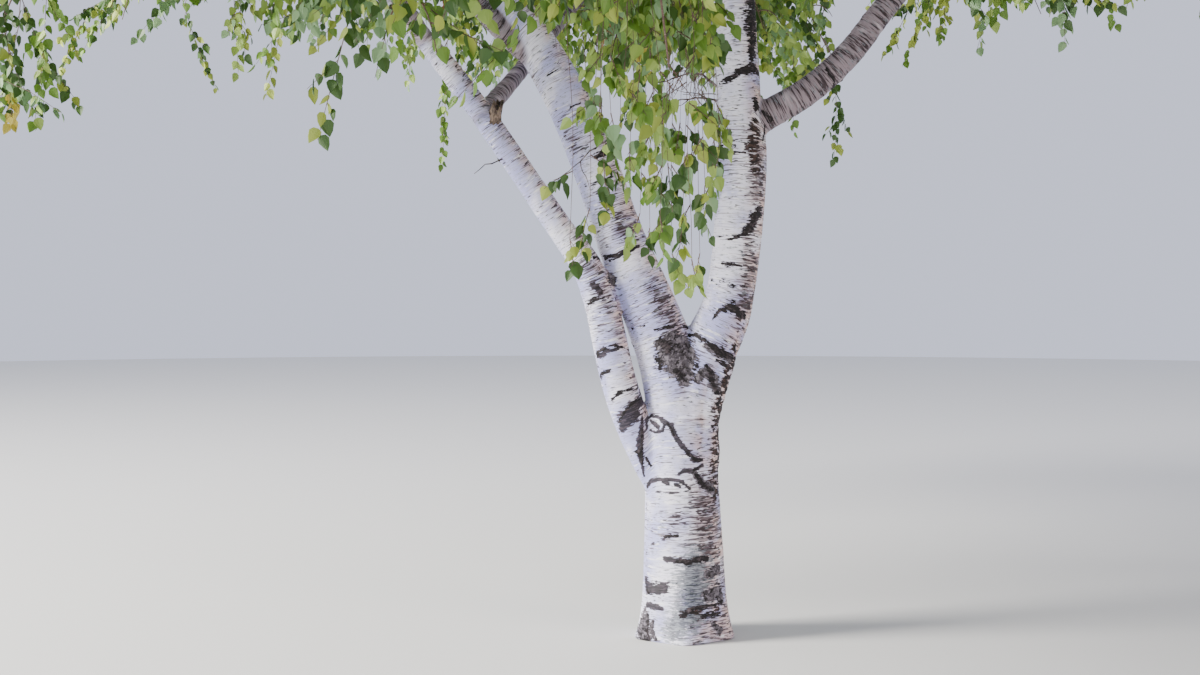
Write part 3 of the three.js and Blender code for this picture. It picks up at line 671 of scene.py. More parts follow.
# heights of the bark's relief: swellings, rings, cork with plates and crumbs, scars, cracks and seam
SWELLINGS = 2.2
RINGS, YOUNG_RINGS = 0.8, 0.9
CORK, CORK_PLATES, CORK_CRUMBS = 1.5, 4.5, 2.5
GREY_SCARS, BLACK_SCARS, BLACK_PLATES = 2.0, 1.5, 2.0
CRACK_DEPTH = 4.0
SEAM_HEIGHT = 20
SEAM_FADES = ([700, 860, 1240, 1340], [0, 1, 1, 0])
GROUND_FADE = 12  # over this height the relief dies out, so that the foot stays flat


def wood_piece(name, skin, names, smoothing):
    """A piece of wood with the bark's relief, and the places that its bark is coloured by."""
    vertices, faces = skin
    # the steps of the remade skin are smoothed away, and then the crotches are rounded
    for _ in range(3):
        vertices += 0.5 * (neighbours_mean(vertices, faces, len(vertices)) - vertices)
    crotch = bark_map(vertices, names)[2]
    for _ in range(smoothing):
        step = neighbours_mean(vertices, faces, len(vertices)) - vertices
        vertices += np.clip(2.2 * crotch, 0, 0.9)[:, None] * step
    height, youth, _ = bark_map(vertices, names)
    kinds = {kind: marked(vertices, kind) for kind in KINDS}
    rough = np.clip(2 * np.maximum(kinds["rugged"], kinds["brown"]) - 0.5, 0, 1)
    seam = np.clip(1.6 * kinds["brown"], 0, 1) * np.interp(vertices[:, 2], *SEAM_FADES)
    black, crack, grey = (np.clip(2 * kinds[kind] - 0.6, 0, 1) for kind in ("black", "fissure", "grey"))
    # the rings are six times as wide round the wood as they are thick along it
    grain = np.column_stack([vertices[:, 0], vertices[:, 1], height * 6])
    relief = SWELLINGS * lumps(vertices, size=210, seed=1)
    relief += (RINGS + YOUNG_RINGS * youth) * lumps(grain, size=90, seed=2)
    plates = CORK_PLATES * np.abs(lumps(vertices, size=24, seed=3))
    plates += CORK_CRUMBS * lumps(vertices, size=11, seed=4)
    relief += rough * (CORK + plates) + GREY_SCARS * grey
    scar_plates = BLACK_PLATES * lumps(vertices, size=13, seed=5)
    relief += black * (BLACK_SCARS + scar_plates) - CRACK_DEPTH * crack
    relief += SEAM_HEIGHT * seam * seam * (3 - 2 * seam)
    relief *= np.clip(vertices[:, 2] / GROUND_FADE, 0, 1)
    vertices = vertices + relief[:, None] * outward(vertices, faces)
    vertices[:, 2] = np.maximum(vertices[:, 2], 0)
    return bark_piece(name, vertices, faces, height, youth, kinds)


trunk = wood_piece("trunk_wood", trunk_skin, ["trunk", *BOUGH_FEET], smoothing=14)
boughs = wood_piece("bough_wood", bough_skin, list(BOUGH_STRETCHES), smoothing=8)


def linear(colour):
    """A colour for the shaders from its sRGB hex code."""
    parts = [int(colour[k:k + 2], 16) / 255 for k in (1, 3, 5)]
    return [part / 12.92 if part < 0.04045 else ((part + 0.055) / 1.055) ** 2.4 for part in parts] + [1]


def add(tree, kind, inlets=None, outlet=0, **settings):
    """Adds a node with its settings, sets or links its inlets, and gives one of its outlets."""
    node = tree.nodes.new("ShaderNode" + kind)
    for name, value in settings.items():
        setattr(node, name, value)
    for inlet, value in (inlets or {}).items():
        if isinstance(value, bpy.types.NodeSocket):
            tree.links.new(value, node.inputs[inlet])
        else:
            node.inputs[inlet].default_value = value
    return node.outputs[outlet] if node.outputs else node


def new_material(name):
    """An empty material, and its tree of nodes."""
    material = bpy.data.materials.new(name)
    material.use_nodes = True
    material.node_tree.nodes.clear()
    return material, material.node_tree


# Birch bark: paper-thin layers that peel across the trunk, so the eye sees chalky white crossed by dark
# breathing pores, with lavender in the shade. The pink and tan on the side that faces right are painted
# warm light. It is grey-brown and ringed on young limbs, and black, brown or grey cork where it has split.
birch_bark, bark = new_material("birch_bark")
grain = add(bark, "Attribute", outlet="Vector", attribute_name="grain")
places = {name: add(bark, "Attribute", outlet="Fac", attribute_name=name) for name in [*KINDS, "youth"]}
normal = add(bark, "NewGeometry", outlet="Normal")
to_the_right = add(bark, "SeparateXYZ", {0: normal})

# each pattern's size across and along the wood in millimetres, its detail and its roughness; the finest
# pores and rings are drawn twice as thick as they are, to show
PATTERNS = {
    "clouds": (200, 250, 3.0, 0.5),
    "painted_warm_light": (110, 70, 3.0, 0.5),
    "striae": (125, 4.8, 3.0, 0.6),
    "peeling": (90, 17, 3.0, 0.6),
    "crowding": (330, 250, 2.0, 0.5),
    "fine_pores": (67, 4.2, 2.0, 0.45),
    "long_pores": (90, 7.7, 2.0, 0.45),
    "broad_pores": (125, 16, 2.0, 0.45),
    "short_pores": (40, 8.5, 1.0, 0.4),
    "notches": (48, 15, 2.0, 0.5),
    "rings": (71, 8.3, 3.0, 0.6),
    "bands": (100, 38, 3.0, 0.5),
    "hatching": (38, 6.7, 3.0, 0.6),
    "crumbs": (17, 17, 3.0, 0.6),
    "plates": (24, 14, 4.0, 0.65),
}
patterns = {}
for name, (across, lengthwise, detail, rough) in PATTERNS.items():
    cells = (1000 / across, 1000 / across, 1000 / lengthwise)
    spaced = add(bark, "VectorMath", {0: grain, 1: cells}, operation="MULTIPLY")
    settings = {"Vector": spaced, "Scale": 1.0, "Detail": detail, "Roughness": rough}
    patterns[name] = add(bark, "TexNoise", settings)

# where the marks' edges break up, in dashes across the wood
ragged = add(bark, "Math", {0: patterns["hatching"], 1: 1.5, 2: -1.0}, operation="MULTIPLY_ADD")
ragged = add(bark, "Math", {0: patterns["crumbs"], 1: 0.5, 2: ragged}, operation="MULTIPLY_ADD")
WANDER = {"black": 1.5, "rugged": 0.8, "brown": 1.1, "grey": 1.0, "fissure": 0.6, "grime": 1.8}
for kind, wander in WANDER.items():
    patterns[kind] = add(bark, "Math", {0: ragged, 1: wander, 2: places[kind]}, operation="MULTIPLY_ADD")

# pores crowd on the side that faces right and in some bands; that side also gets painted warm light
crowd = add(bark, "Math", {0: places["dash"], 1: 0.13}, operation="MULTIPLY")
pores_and_warm_light_side = add(bark, "MapRange", {"Value": to_the_right, "From Min": -0.05, "From Max": 0.85},
              interpolation_type="SMOOTHSTEP")
crowd = add(bark, "Math", {0: pores_and_warm_light_side, 1: 0.085, 2: crowd}, operation="MULTIPLY_ADD")
crowd = add(bark, "Math", {0: patterns["crowding"], 1: 0.22, 2: crowd}, operation="MULTIPLY_ADD")
for name in ("fine_pores", "long_pores", "broad_pores", "short_pores"):
    patterns[name] = add(bark, "Math", {0: patterns[name], 1: crowd}, operation="ADD")
age = add(bark, "Math", {0: patterns["clouds"], 1: 0.8, 2: -0.4}, operation="MULTIPLY_ADD")
patterns["age"] = add(bark, "Math", {0: age, 1: places["youth"]}, operation="ADD")

# The bark's tones. Each is a first colour, and the colours or tones over it in turn, with the pattern
# that lays each, the values between which it comes in, and how much of it there is at most.
TONES = {
    # the pink and tan coat on the side that faces right is painted warm light
    "white": ["#f1f0fd", ("#b5b7e6", "clouds", 0.36, 0.62, 1.0), ("#dfc4bd", "painted_warm_light", 0.32, 0.62, pores_and_warm_light_side),
              ("#9f98b2", "striae", 0.50, 0.70, 0.6), ("#fcfbff", "peeling", 0.58, 0.66, 0.7),
              ("#6d5c62", "fine_pores", 0.745, 0.79, 0.75), ("#4b3b3f", "long_pores", 0.78, 0.825, 0.85),
              ("#2c2226", "broad_pores", 0.85, 0.89, 0.9), ("#35282b", "short_pores", 0.81, 0.84, 0.95)],
    "young": ["#91838a", ("#362b2f", "rings", 0.46, 0.60, 1.0), ("#b7abb2", "bands", 0.56, 0.70, 1.0)],
    "slate": ["#1d171b", ("#4a4049", "hatching", 0.48, 0.62, 1.0)],
    "rust": ["#1a1413", ("#463430", "plates", 0.44, 0.60, 1.0), ("white", "notches", 0.54, 0.57, 1.0)],
    "cork": ["#1c181a", ("#5a545b", "plates", 0.40, 0.60, 1.0), ("#857e87", "crumbs", 0.52, 0.62, 0.8)],
    "scar": ["#171315", ("#4a4044", "plates", 0.48, 0.68, 1.0)],
    "mould": ["#373f46", ("#8d949c", "hatching", 0.44, 0.60, 1.0)],
    "bark": ["white", ("young", "age", 0.25, 0.75, 1.0), ("mould", "grime", 0.10, 0.60, 0.85),
             ("slate", "grey", 0.40, 0.52, 0.97), ("rust", "brown", 0.36, 0.56, 1.0),
             ("cork", "rugged", 0.42, 0.49, 1.0), ("scar", "black", 0.38, 0.50, 1.0),
             ("#241c1d", "fissure", 0.52, 0.72, 0.9)],
}
tones = {}
for name, (base, *coats) in TONES.items():
    tone = tones.get(base) or linear(base)
    for colour, pattern, low, high, most in coats:
        comes_in = {"Value": patterns[pattern], "From Min": low, "From Max": high, "To Max": most}
        amount = add(bark, "MapRange", comes_in, interpolation_type="SMOOTHSTEP")
        patterns[colour] = amount
        # a Mix takes the share at 0, the colours below and above at 6 and 7, and gives the colour at 2
        laid_on = tones.get(colour) or linear(colour)
        tone = add(bark, "Mix", {0: amount, 6: tone, 7: laid_on}, outlet=2, data_type="RGBA")
    tones[name] = tone

# the fine relief: papery edges and hatching, rings on young wood, and the plates of cork and scars
height = add(bark, "Math", {0: patterns["striae"], 1: patterns["hatching"]}, operation="ADD")
height = add(bark, "Math", {0: height, 1: 0.5}, operation="MULTIPLY")
plated = add(bark, "Math", {0: places["youth"], 1: 1.3}, operation="MULTIPLY")
plated = add(bark, "Math", {0: patterns["scar"], 1: 1.4, 2: plated}, operation="MULTIPLY_ADD")
plated = add(bark, "Math", {0: patterns["cork"], 1: 3.0, 2: plated}, operation="MULTIPLY_ADD")
height = add(bark, "Math", {0: patterns["plates"], 1: plated, 2: height}, operation="MULTIPLY_ADD")
relief = add(bark, "Bump", {"Strength": 0.7, "Distance": 0.004, "Height": height})
surface = add(bark, "BsdfPrincipled", {
    "Base Color": tones["bark"], "Roughness": 0.6, "Specular IOR Level": 0.3, "Normal": relief,
})
add(bark, "OutputMaterial", {"Surface": surface})

for piece in (trunk, boughs):
    piece.data.materials.append(birch_bark)
    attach(piece, "root")
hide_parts("trunk", "left_bough", "right_bough", "low_bough")

# The upper limbs

# Thinner birch wood beyond the boughs' thick lower parts. Each limb is one smooth, tapering sweep from
# its fork to the leader at its end, in the same bark, which is grey-brown where it is young.

UPPER_LIMBS = {
    "middle_front_left_limb": dict(
        parent="left_bough", joint=3900, length=2200,
        lean=[(0, 52), (900, 44), (2200, 40)],
        heading=[(0, -62), (2200, -84)],
        width=[(0, 72), (2200, 40)],
    ),
    "middle_front_right_limb": dict(
        parent="right_bough", joint=3050, length=2200,
        lean=[(0, 54), (900, 46), (2200, 46)],
        heading=[(0, -62), (2200, -76)],
        width=[(0, 84), (2200, 42)],
    ),
    "upper_right_limb": dict(
        parent="right_bough", joint=3350, length=2500,
        lean=[(0, 54), (900, 46), (2500, 44)],
        heading=[(0, 10), (2500, -8)],
        width=[(0, 82), (2500, 42)],
    ),
    "upper_front_limb": dict(
        parent="right_bough", joint=4700, length=2000,
        lean=[(0, 50), (800, 36), (2000, 24)],
        heading=[(0, -118), (2000, -100)],
        width=[(0, 66), (2000, 38)],
    ),
    "upper_back_limb": dict(
        parent="right_bough", joint=5400, length=1900,
        lean=[(0, 50), (800, 36), (1900, 22)],
        heading=[(0, 88), (1900, 104)],
        width=[(0, 62), (1900, 38)],
    ),
}
grow(UPPER_LIMBS)
LIMBS.update(UPPER_LIMBS)

UPPER_OVERLAP = 40  # how far the upper wood reaches down inside the boughs' skin
UPPER_STEP = 40
THICK_RADIUS, THICK_SIDES, THIN_SIDES = 45, 16, 12
upper_parts, height, youth = [], [], []
for name in list(LIMBS)[1:]:
    first = BOUGH_STRETCHES[name][1] - UPPER_OVERLAP if name in BOUGH_STRETCHES else 0
    sides = THICK_SIDES if limb_radius(name, first) > THICK_RADIUS else THIN_SIDES
    part = limb_tube(name, first, LIMBS[name]["length"], UPPER_STEP, sides, False)
    upper_parts.append(part)
    at = np.clip(place_on_limb(part[0], name)[0], 0, None)
    height.append(grown[name] + at)
    youth.append(limb_youth(name, at))
vertices, faces = joined(upper_parts)
UPPER_SWELLINGS = 1.6
vertices += (UPPER_SWELLINGS * lumps(vertices, size=110, seed=6))[:, None] * outward(vertices, faces)
unmarked = {kind: np.zeros(len(vertices)) for kind in KINDS}
upper = bark_piece("upper_wood", vertices, faces, np.concatenate(height), np.concatenate(youth), unmarked)
upper.data.materials.append(birch_bark)
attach(upper, "root")
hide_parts(*[name for name in LIMBS if "limb" in name])

# The broken stub and the dead twigs

# Where a branch snapped off the low bough it left a short stub of torn, tan wood. Beside the boughs a few
# twigs have died and lost their leaves. They are bare, dark and brittle, but still fast in the bark.

STUB_AT = 1990  # along the low bough
STUB_OFFSET = [26, -22, 14]  # from the bough's middle line
STUB_WAY = [0.30, -0.42, 0.86]
STUB_SIDES = 22
STUB_RINGS = [(-30, 42), (0, 35), (22, 29), (44, 26), (60, 23)]  # distance along and radius
TORN_RINGS = [(44, 14), (32, 6), (30, 0.5)]  # the torn wood inside, which lies deeper than the splinters
stub_root = on_path(paths["low_bough"], STUB_AT) + STUB_OFFSET
stub_way = np.array(STUB_WAY) / np.linalg.norm(STUB_WAY)
stub_chance = np.random.default_rng(5)
splinters = stub_chance.uniform(4, 34, STUB_SIDES)
stub_side = np.cross(stub_way, [0, 1.0, 0])
stub_side /= np.linalg.norm(stub_side)
stub_angle = np.arange(STUB_SIDES) * 2 * np.pi / STUB_SIDES
stub_over = np.cross(stub_way, stub_side)
stub_out = np.outer(np.cos(stub_angle), stub_side) + np.outer(np.sin(stub_angle), stub_over)
rings = []
for at, radius in STUB_RINGS:
    uneven = radius * (1 + 0.09 * stub_chance.uniform(-1, 1, STUB_SIDES))
    ends = at + splinters * (at == STUB_RINGS[-1][0])
    rings.append(stub_root + stub_way * ends[:, None] + stub_out * uneven[:, None])
for at, radius in TORN_RINGS:
    rings.append(stub_root + stub_way * (at + 0.35 * splinters)[:, None] + stub_out * radius)
rings = np.array(rings)[None]
stub = new_piece("broken_stub", rings.reshape(-1, 3), ring_faces(rings.shape[:3]))

# Torn birch wood: tan fibres that run along the stub, weathered brown to nearly black in the cracks. The
# fibres are drawn 5 mm thick, so that they show.
torn_wood, wood = new_material("torn_wood")
place = add(wood, "TexCoord", outlet="Object")
FIBRE_SIZE = (5, 5, 38)
cells = tuple(1000 / size for size in FIBRE_SIZE)
fibres = add(wood, "VectorMath", {0: place, 1: cells}, operation="MULTIPLY")
fibres = add(wood, "TexNoise", {"Vector": fibres, "Scale": 1.0, "Detail": 3.0, "Roughness": 0.6})
stains = add(wood, "TexNoise", {"Vector": place, "Scale": 1000 / 26, "Detail": 2.0})
dry = add(wood, "MapRange", {"Value": fibres, "From Min": 0.36, "From Max": 0.62})
tan = add(wood, "Mix", {0: dry, 6: linear("#3d322d"), 7: linear("#8f7b6b")}, 2, data_type="RGBA")
rotten = add(wood, "MapRange", {"Value": stains, "From Min": 0.54, "From Max": 0.64})
tan = add(wood, "Mix", {0: rotten, 6: tan, 7: linear("#2a1a14")}, 2, data_type="RGBA")
relief = add(wood, "Bump", {"Strength": 0.8, "Distance": 0.003, "Height": fibres})
surface = add(wood, "BsdfPrincipled", {"Base Color": tan, "Roughness": 0.8, "Normal": relief})
add(wood, "OutputMaterial", {"Surface": surface})
stub.data.materials.append(torn_wood)
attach(stub, "root")

# each dead twig's line, as distances across and up the tree seen from the front and behind its middle
# plane, and its radius at the root and the tip
DEAD_TWIGS = [
    ([(165, 2462, 0), (130, 2478, -30), (72, 2516, -70), (30, 2524, -95), (-30, 2508, -120),
      (-90, 2478, -150), (-128, 2470, -170)], 6.5, 2.0),
    ([(72, 2516, -70), (38, 2530, -60), (-8, 2540, -50), (-66, 2530, -34)], 3.0, 1.2),
    ([(40, 2522, -90), (39, 2470, -100), (34, 2420, -104), (40, 2380, -110)], 2.6, 1.0),
    ([(165, 2404, -10), (130, 2414, -30), (72, 2418, -60), (10, 2404, -96), (-54, 2398, -120),
      (-108, 2392, -140)], 6.0, 1.8),
    ([(90, 2417, -50), (50, 2440, -36), (0, 2446, -20), (-60, 2462, 6)], 2.8, 1.0),
    ([(10, 2404, -96), (-24, 2380, -110), (-70, 2366, -130)], 2.2, 0.9),
    ([(165, 2440, 6), (118, 2446, 24), (60, 2438, 60), (-6, 2450, 96)], 3.4, 1.2),
    ([(-348, 2226, -86), (-378, 2206, -150), (-424, 2168, -176), (-472, 2124, -184),
      (-520, 2082, -176), (-570, 2044, -160)], 4.2, 1.4),
    ([(-468, 2127, -184), (-456, 2080, -196), (-436, 2030, -204), (-424, 1996, -206)], 2.4, 1.0),
    ([(-790, 2150, -130), (-836, 2128, -160), (-880, 2110, -196), (-930, 2070, -214)], 4.0, 1.4),
]
DEAD_TWIG_SIDES = 7
CROOK = 4  # how far a dead twig's points stray from its line
dead_parts = []
for line, first, last in DEAD_TWIGS:
    points = np.array([(x, y, z) for x, z, y in line], float)
    middles = (points[1:] + points[:-1]) / 2
    points = np.insert(points, np.arange(1, len(points)), middles, axis=0)
    points[1:-1] += stub_chance.uniform(-CROOK, CROOK, (len(points) - 2, 3))
    knots = 1 + 0.12 * np.sin(np.arange(len(points)) * 2.4)
    radii = np.linspace(first, last, len(points)) * knots
    dead_parts.append(tubes(points[None], radii[None], DEAD_TWIG_SIDES))
dead = new_piece("dead_twigs", *joined(dead_parts))

# Dead birch bark: dark grey-brown, dry and finely cracked, with a little grey bloom.
dead_bark, husk = new_material("dead_twig_bark")
place = add(husk, "TexCoord", outlet="Object")
bloom = add(husk, "TexNoise", {"Vector": place, "Scale": 1000 / 22, "Detail": 3.0, "Roughness": 0.6})
cracks = add(husk, "TexNoise", {"Vector": place, "Scale": 1000 / 6, "Detail": 2.0})
shade = add(husk, "MapRange", {"Value": bloom, "From Min": 0.45, "From Max": 0.65})
tint = add(husk, "Mix", {0: shade, 6: linear("#332a28"), 7: linear("#8a807f")}, 2, data_type="RGBA")
relief = add(husk, "Bump", {"Strength": 0.6, "Distance": 0.001, "Height": cracks})
surface = add(husk, "BsdfPrincipled", {"Base Color": tint, "Roughness": 0.85, "Normal": relief})
add(husk, "OutputMaterial", {"Surface": surface})
dead.data.materials.append(dead_bark)
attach(dead, "root")

# The twigs

# Thin brown birch wood that grows on from the limbs. Every limb ends in a leader, whose twigs reach out
# and then hang. Finer side twigs leave them to the left and right, and long strands hang before the fork.

# A leader is as long as its stem, and leans over to its nod. Its twigs hang for about their trail. Each
# mass of twigs keeps to its own space, which spreads, rises and hangs that far from its leader's middle.
MASSES = {
    "top_foliage": dict(
        limb="right_bough", stem=2500, nod=4, spread=1440, rise=2050, hang=1850, trail=850),
    "upper_left_foliage": dict(
        limb="left_bough", stem=1700, nod=18, spread=1550, rise=1680, hang=2050, trail=1100),
    "upper_front_foliage": dict(
        limb="upper_front_limb", stem=1500, nod=30, spread=1390, rise=1360, hang=1950, trail=1100),
    "upper_back_foliage": dict(
        limb="upper_back_limb", stem=1500, nod=28, spread=1390, rise=1470, hang=1950, trail=1100),
    "upper_right_foliage": dict(
        limb="upper_right_limb", stem=1600, nod=70, spread=1600, rise=1470, hang=2400, trail=1200),
    "middle_left_foliage": dict(
        limb="middle_left_limb", stem=1500, nod=95, spread=1550, rise=1360, hang=2300, trail=1200),
    "middle_front_left_foliage": dict(
        limb="middle_front_left_limb", stem=1500, nod=80, spread=1500, rise=1260, hang=2300, trail=1200),
    "middle_back_foliage": dict(
        limb="middle_back_limb", stem=1500, nod=75, spread=1500, rise=1260, hang=2200, trail=1200),
    "middle_front_right_foliage": dict(
        limb="middle_front_right_limb", stem=1500, nod=80, spread=1500, rise=1260, hang=2200, trail=1200),
    "low_back_left_foliage": dict(
        limb="low_back_left_limb", stem=1500, nod=105, spread=1600, rise=1160, hang=2400, trail=1250),
    "low_left_foliage": dict(
        limb="low_bough", stem=1500, nod=112, spread=1600, rise=1050, hang=2200, trail=1200),
    "low_front_left_foliage": dict(
        limb="low_front_left_limb", stem=1300, nod=120, spread=1440, rise=940, hang=2200, trail=1200),
    "low_front_foliage": dict(
        limb="low_front_limb", stem=800, nod=150, spread=1120, rise=840, hang=3100, trail=1950),
    "low_back_foliage": dict(
        limb="low_back_limb", stem=1400, nod=112, spread=1600, rise=940, hang=2200, trail=1200),
    "low_right_foliage": dict(
        limb="low_right_limb", stem=1400, nod=118, spread=1600, rise=940, hang=2300, trail=1200),
    "low_front_right_foliage": dict(
        limb="low_front_right_limb", stem=1400, nod=118, spread=1550, rise=940, hang=2300, trail=1200),
    "low_back_right_foliage": dict(
        limb="low_back_right_limb", stem=1400, nod=115, spread=1600, rise=1050, hang=2400, trail=1200),
}
SET_OFF = 0.3  # the solids leave this gap between a limb's end and its leader
for mass in MASSES.values():
    limb = LIMBS[mass["limb"]]
    end = limb["length"]
    tip = on_path(paths[mass["limb"]], end) + SET_OFF * headings_on(paths[mass["limb"]], end)[0]
    bent = [(0, along(limb["lean"], end)), (mass["stem"], mass["nod"])]
    mass["path"] = make_path(tip, bent, [(0, along(limb["heading"], end))], np.linspace(0, mass["stem"], 5))
    mass["middle"] = on_path(mass["path"], mass["stem"] / 2)
middles, spreads, rises, hangs = (
    np.array([mass[key] for mass in MASSES.values()]) for key in ("middle", "spread", "rise", "hang")
)
wood_points = np.vstack([path["points"] for path in paths.values()])
wood_radii = np.concatenate([limb_radius(name, path["stations"]) for name, path in paths.items()])


def depths(points):
    """How far out each point is in each mass's space: 0 at the middle and 1 at the skin."""
    out = points[..., None, :] - middles
    height = np.where(out[..., 2] > 0, rises, hangs)
    return np.sqrt((out[..., :2] ** 2).sum(axis=-1) / spreads ** 2 + (out[..., 2] / height) ** 2)


DEEPER = 0.06


def is_free(own, points):
    """Whether each point is in that mass's space, and clearly farther out in every other's."""
    depth = depths(points)
    others = np.delete(depth, own, axis=-1).min(axis=-1)
    return (depth[..., own] <= 1) & (others > depth[..., own] + DEEPER)


LIMB_SPARE = 30  # between the wood and what hangs beside it


def clears_limbs(points, reach):
    """Whether each point is at least that far from the wood, with the spare on top."""
    gap = np.linalg.norm(points[..., None, :] - wood_points, axis=-1) - wood_radii
    return gap.min(axis=-1) > reach + LIMB_SPARE


# The crown is open in front of the forked boughs, and its skirt ends at different heights. These are the
# ends of the skirt across the front, as distances across and up at the trunk, seen from 7.5 m in front.
SKIRT = [
    (-2000, 2190), (-1192, 2190), (-1102, 2335), (-832, 2394), (-778, 2596), (-720, 2740), (-540, 2740),
    (-428, 2480), (-382, 2280), (68, 2260), (104, 2500), (140, 2900), (878, 2900), (990, 2664),
    (1035, 2281), (1418, 2190),
]
VIEW_FROM = (-382, -7500, 1584)  # the viewer's eye
OPEN_DEPTH = 700  # farther behind the trunk than this the crown comes down freely


def as_seen(points):
    """Where points are seen at the trunk, across and up, from 7.5 m in front."""
    wider = -VIEW_FROM[1] / (points[..., 1] - VIEW_FROM[1])
    across = VIEW_FROM[0] + (points[..., 0] - VIEW_FROM[0]) * wider
    return across, VIEW_FROM[2] + (points[..., 2] - VIEW_FROM[2]) * wider


def is_open(points, spare=40):
    """Whether each point is above the skirt's end, or far behind the boughs."""
    across, up = as_seen(points)
    skirt_end = np.interp(across, *zip(*SKIRT))
    return (up > skirt_end + spare) | (points[..., 1] > OPEN_DEPTH)


# foliage may hang a little outside the box of the solids, as its leaves reach past their twigs
CROWN_ROOM = 180
crown_low = np.array(solid_box[0]) * 1000 - CROWN_ROOM
crown_high = np.array(solid_box[1]) * 1000 + CROWN_ROOM


def is_inside(points):
    return np.all((points > crown_low) & (points < crown_high), axis=-1)


def seeded(seed):
    """Numbers from 0 to 1, the same for the same seed."""
    state = seed
    while True:
        state = (state * 1664525 + 1013904223) % 2 ** 32
        yield state / 2 ** 32


def within(span, share):
    return span[0] + (span[1] - span[0]) * share


def rounded(path, count):
    """A path's middle line with its bends rounded off."""
    points = on_path(path, np.linspace(0, path["length"], count))
    for _ in range(count // 3):
        points[1:-1] = (points[:-2] + 2 * points[1:-1] + points[2:]) / 4
    return points


def on_line(line, share):
    """The point at a share of the way along an evenly spaced line."""
    place = np.asarray(share) * (len(line) - 1)
    return np.stack([np.interp(place, np.arange(len(line)), line[:, k]) for k in range(3)], -1)


# A spray is a shoot with its side shoots and leaves: where it hangs from, its way, its flat side, its
# size against a full one, and its mass. It is widest at a share of its length.
SPRAY_LENGTH, SPRAY_WIDTH, SPRAY_WIDEST = 860, 330, 0.36
blade_shares = np.linspace(0.08, 1, 9)
blade_widths = np.minimum(blade_shares / SPRAY_WIDEST, (1 - blade_shares) / (1 - SPRAY_WIDEST))
blade_halves = SPRAY_WIDTH / 2 * blade_widths

# The main twigs and the sprays on them grow by the same seeded rule as those of the solids. They leave
# the leader by the golden angle, bend over at the end of their reach, and hang at their droop.
TWIG_COUNT = 9
GOLDEN_ANGLE = 137.5
DROOP = 152
TWIG_RADIUS = 14
SPRAY_COUNT = 5
LAST_SPRAY = 0.97  # share of the twig's length
SPRAY_GAP = 165
LEADER_POINTS = 13
leaders, twigs, side_twigs, sprays = [], [], [], []
for own, mass in enumerate(MASSES.values()):
    end_radius = limb_radius(mass["limb"], LIMBS[mass["limb"]]["length"])
    leaders.append((rounded(mass["path"], LEADER_POINTS), end_radius))
    random = seeded(own + 1)
    mass_twigs = []
    for turn in range(TWIG_COUNT):
        share = (turn + 0.5) / TWIG_COUNT
        start = on_path(mass["path"], mass["stem"] * within((0.06, 0.98), share))
        heading = turn * GOLDEN_ANGLE + 40 * next(random)
        lift = within((78, 44), share) + 16 * next(random)
        reach = mass["spread"] * within((0.45, 0.75), next(random))
        fall = mass["trail"] * within((0.7, 1.2), next(random))
        # a twig that isn't free is tried again, shorter
        for part in (1, 0.85, 0.7, 0.55):
            bend = reach * part
            lean = [(bend - 1, lift), (bend, (lift + DROOP) / 2), (bend + 1, DROOP)]
            path = make_path(start, lean, [(0, heading)], [0, bend, bend + fall * part])
            tests = on_path(path, np.linspace(0.1, 1, 13) * path["length"])
            if is_free(own, tests).all() and clears_limbs(tests, TWIG_RADIUS).all():
                mass_twigs.append((path, heading))
                break
    random = seeded(own + 1001)
    spray_lines = []
    for path, heading in mass_twigs:
        line = rounded(path, 17)
        is_kept = is_open(line).all()
        if is_kept:
            twigs.append((line, own))
        for k in range(1, SPRAY_COUNT + 1):
            is_tip = k == SPRAY_COUNT
            turn = (-1 if k % 2 else 1) * within((45, 90), next(random))
            least_lean = DROOP if is_tip else within((112, 148), k / SPRAY_COUNT)
            lean = least_lean + (10 if is_tip else 20) * next(random)
            size = within((0.85, 1.15), next(random))
            ahead = directions(lean, heading + turn)[0]
            share = k / SPRAY_COUNT * LAST_SPRAY
            root = on_path(path, share * path["length"])
            along_twig, level, _ = headings_on(path, share * path["length"])
            side = level if is_tip else along_twig
            side = side - (side @ ahead) * ahead
            side /= np.linalg.norm(side)
            middle_line = root + ahead * (SPRAY_LENGTH * size * blade_shares)[:, None]
            half_way = side * (size * blade_halves)[:, None]
            tests = np.vstack([middle_line + out * half_way for out in (0, -1, -0.5, 0.5, 1)])
            gaps = [np.linalg.norm(other[:, None] - middle_line, axis=2).min() for other in spray_lines]
            is_apart = min(gaps, default=SPRAY_GAP) >= SPRAY_GAP
            if is_apart and is_free(own, tests).all() and clears_limbs(tests, 0).all():
                spray_lines.append(middle_line)
                if is_kept and is_open(middle_line).all():
                    sprays.append((on_line(line, share), ahead, side, size, own))

# Side twigs leave the main twigs, the leaders and the outer halves of the limbs, and small sprays hang on
# them. Those that grow on a limb itself have the number of its mass plus the number of masses.
LIMB_TWIGS_FROM = 2700  # up from the ground
LIMB_TWIG_SPACING = 600  # along a limb, for each pair of side twigs
SIDE_SPRAY_SPACING = 230
SIDE_TWIG_CLEARANCE, SIDE_SPRAY_CLEARANCE = 6, 10  # from the wood
SIDE_TWIG_POINTS = 7
by_chance = np.random.default_rng(7)


def is_clear(own, points, gap):
    """Whether twigs may grow there, that far from the wood, in their own mass's space or on a limb."""
    is_own = is_free(own, points) if own < len(MASSES) else points[..., 2] > LIMB_TWIGS_FROM
    is_held = is_inside(points).all() and is_open(points).all()
    return is_own.all() and is_held and clears_limbs(points, gap - LIMB_SPARE).all()


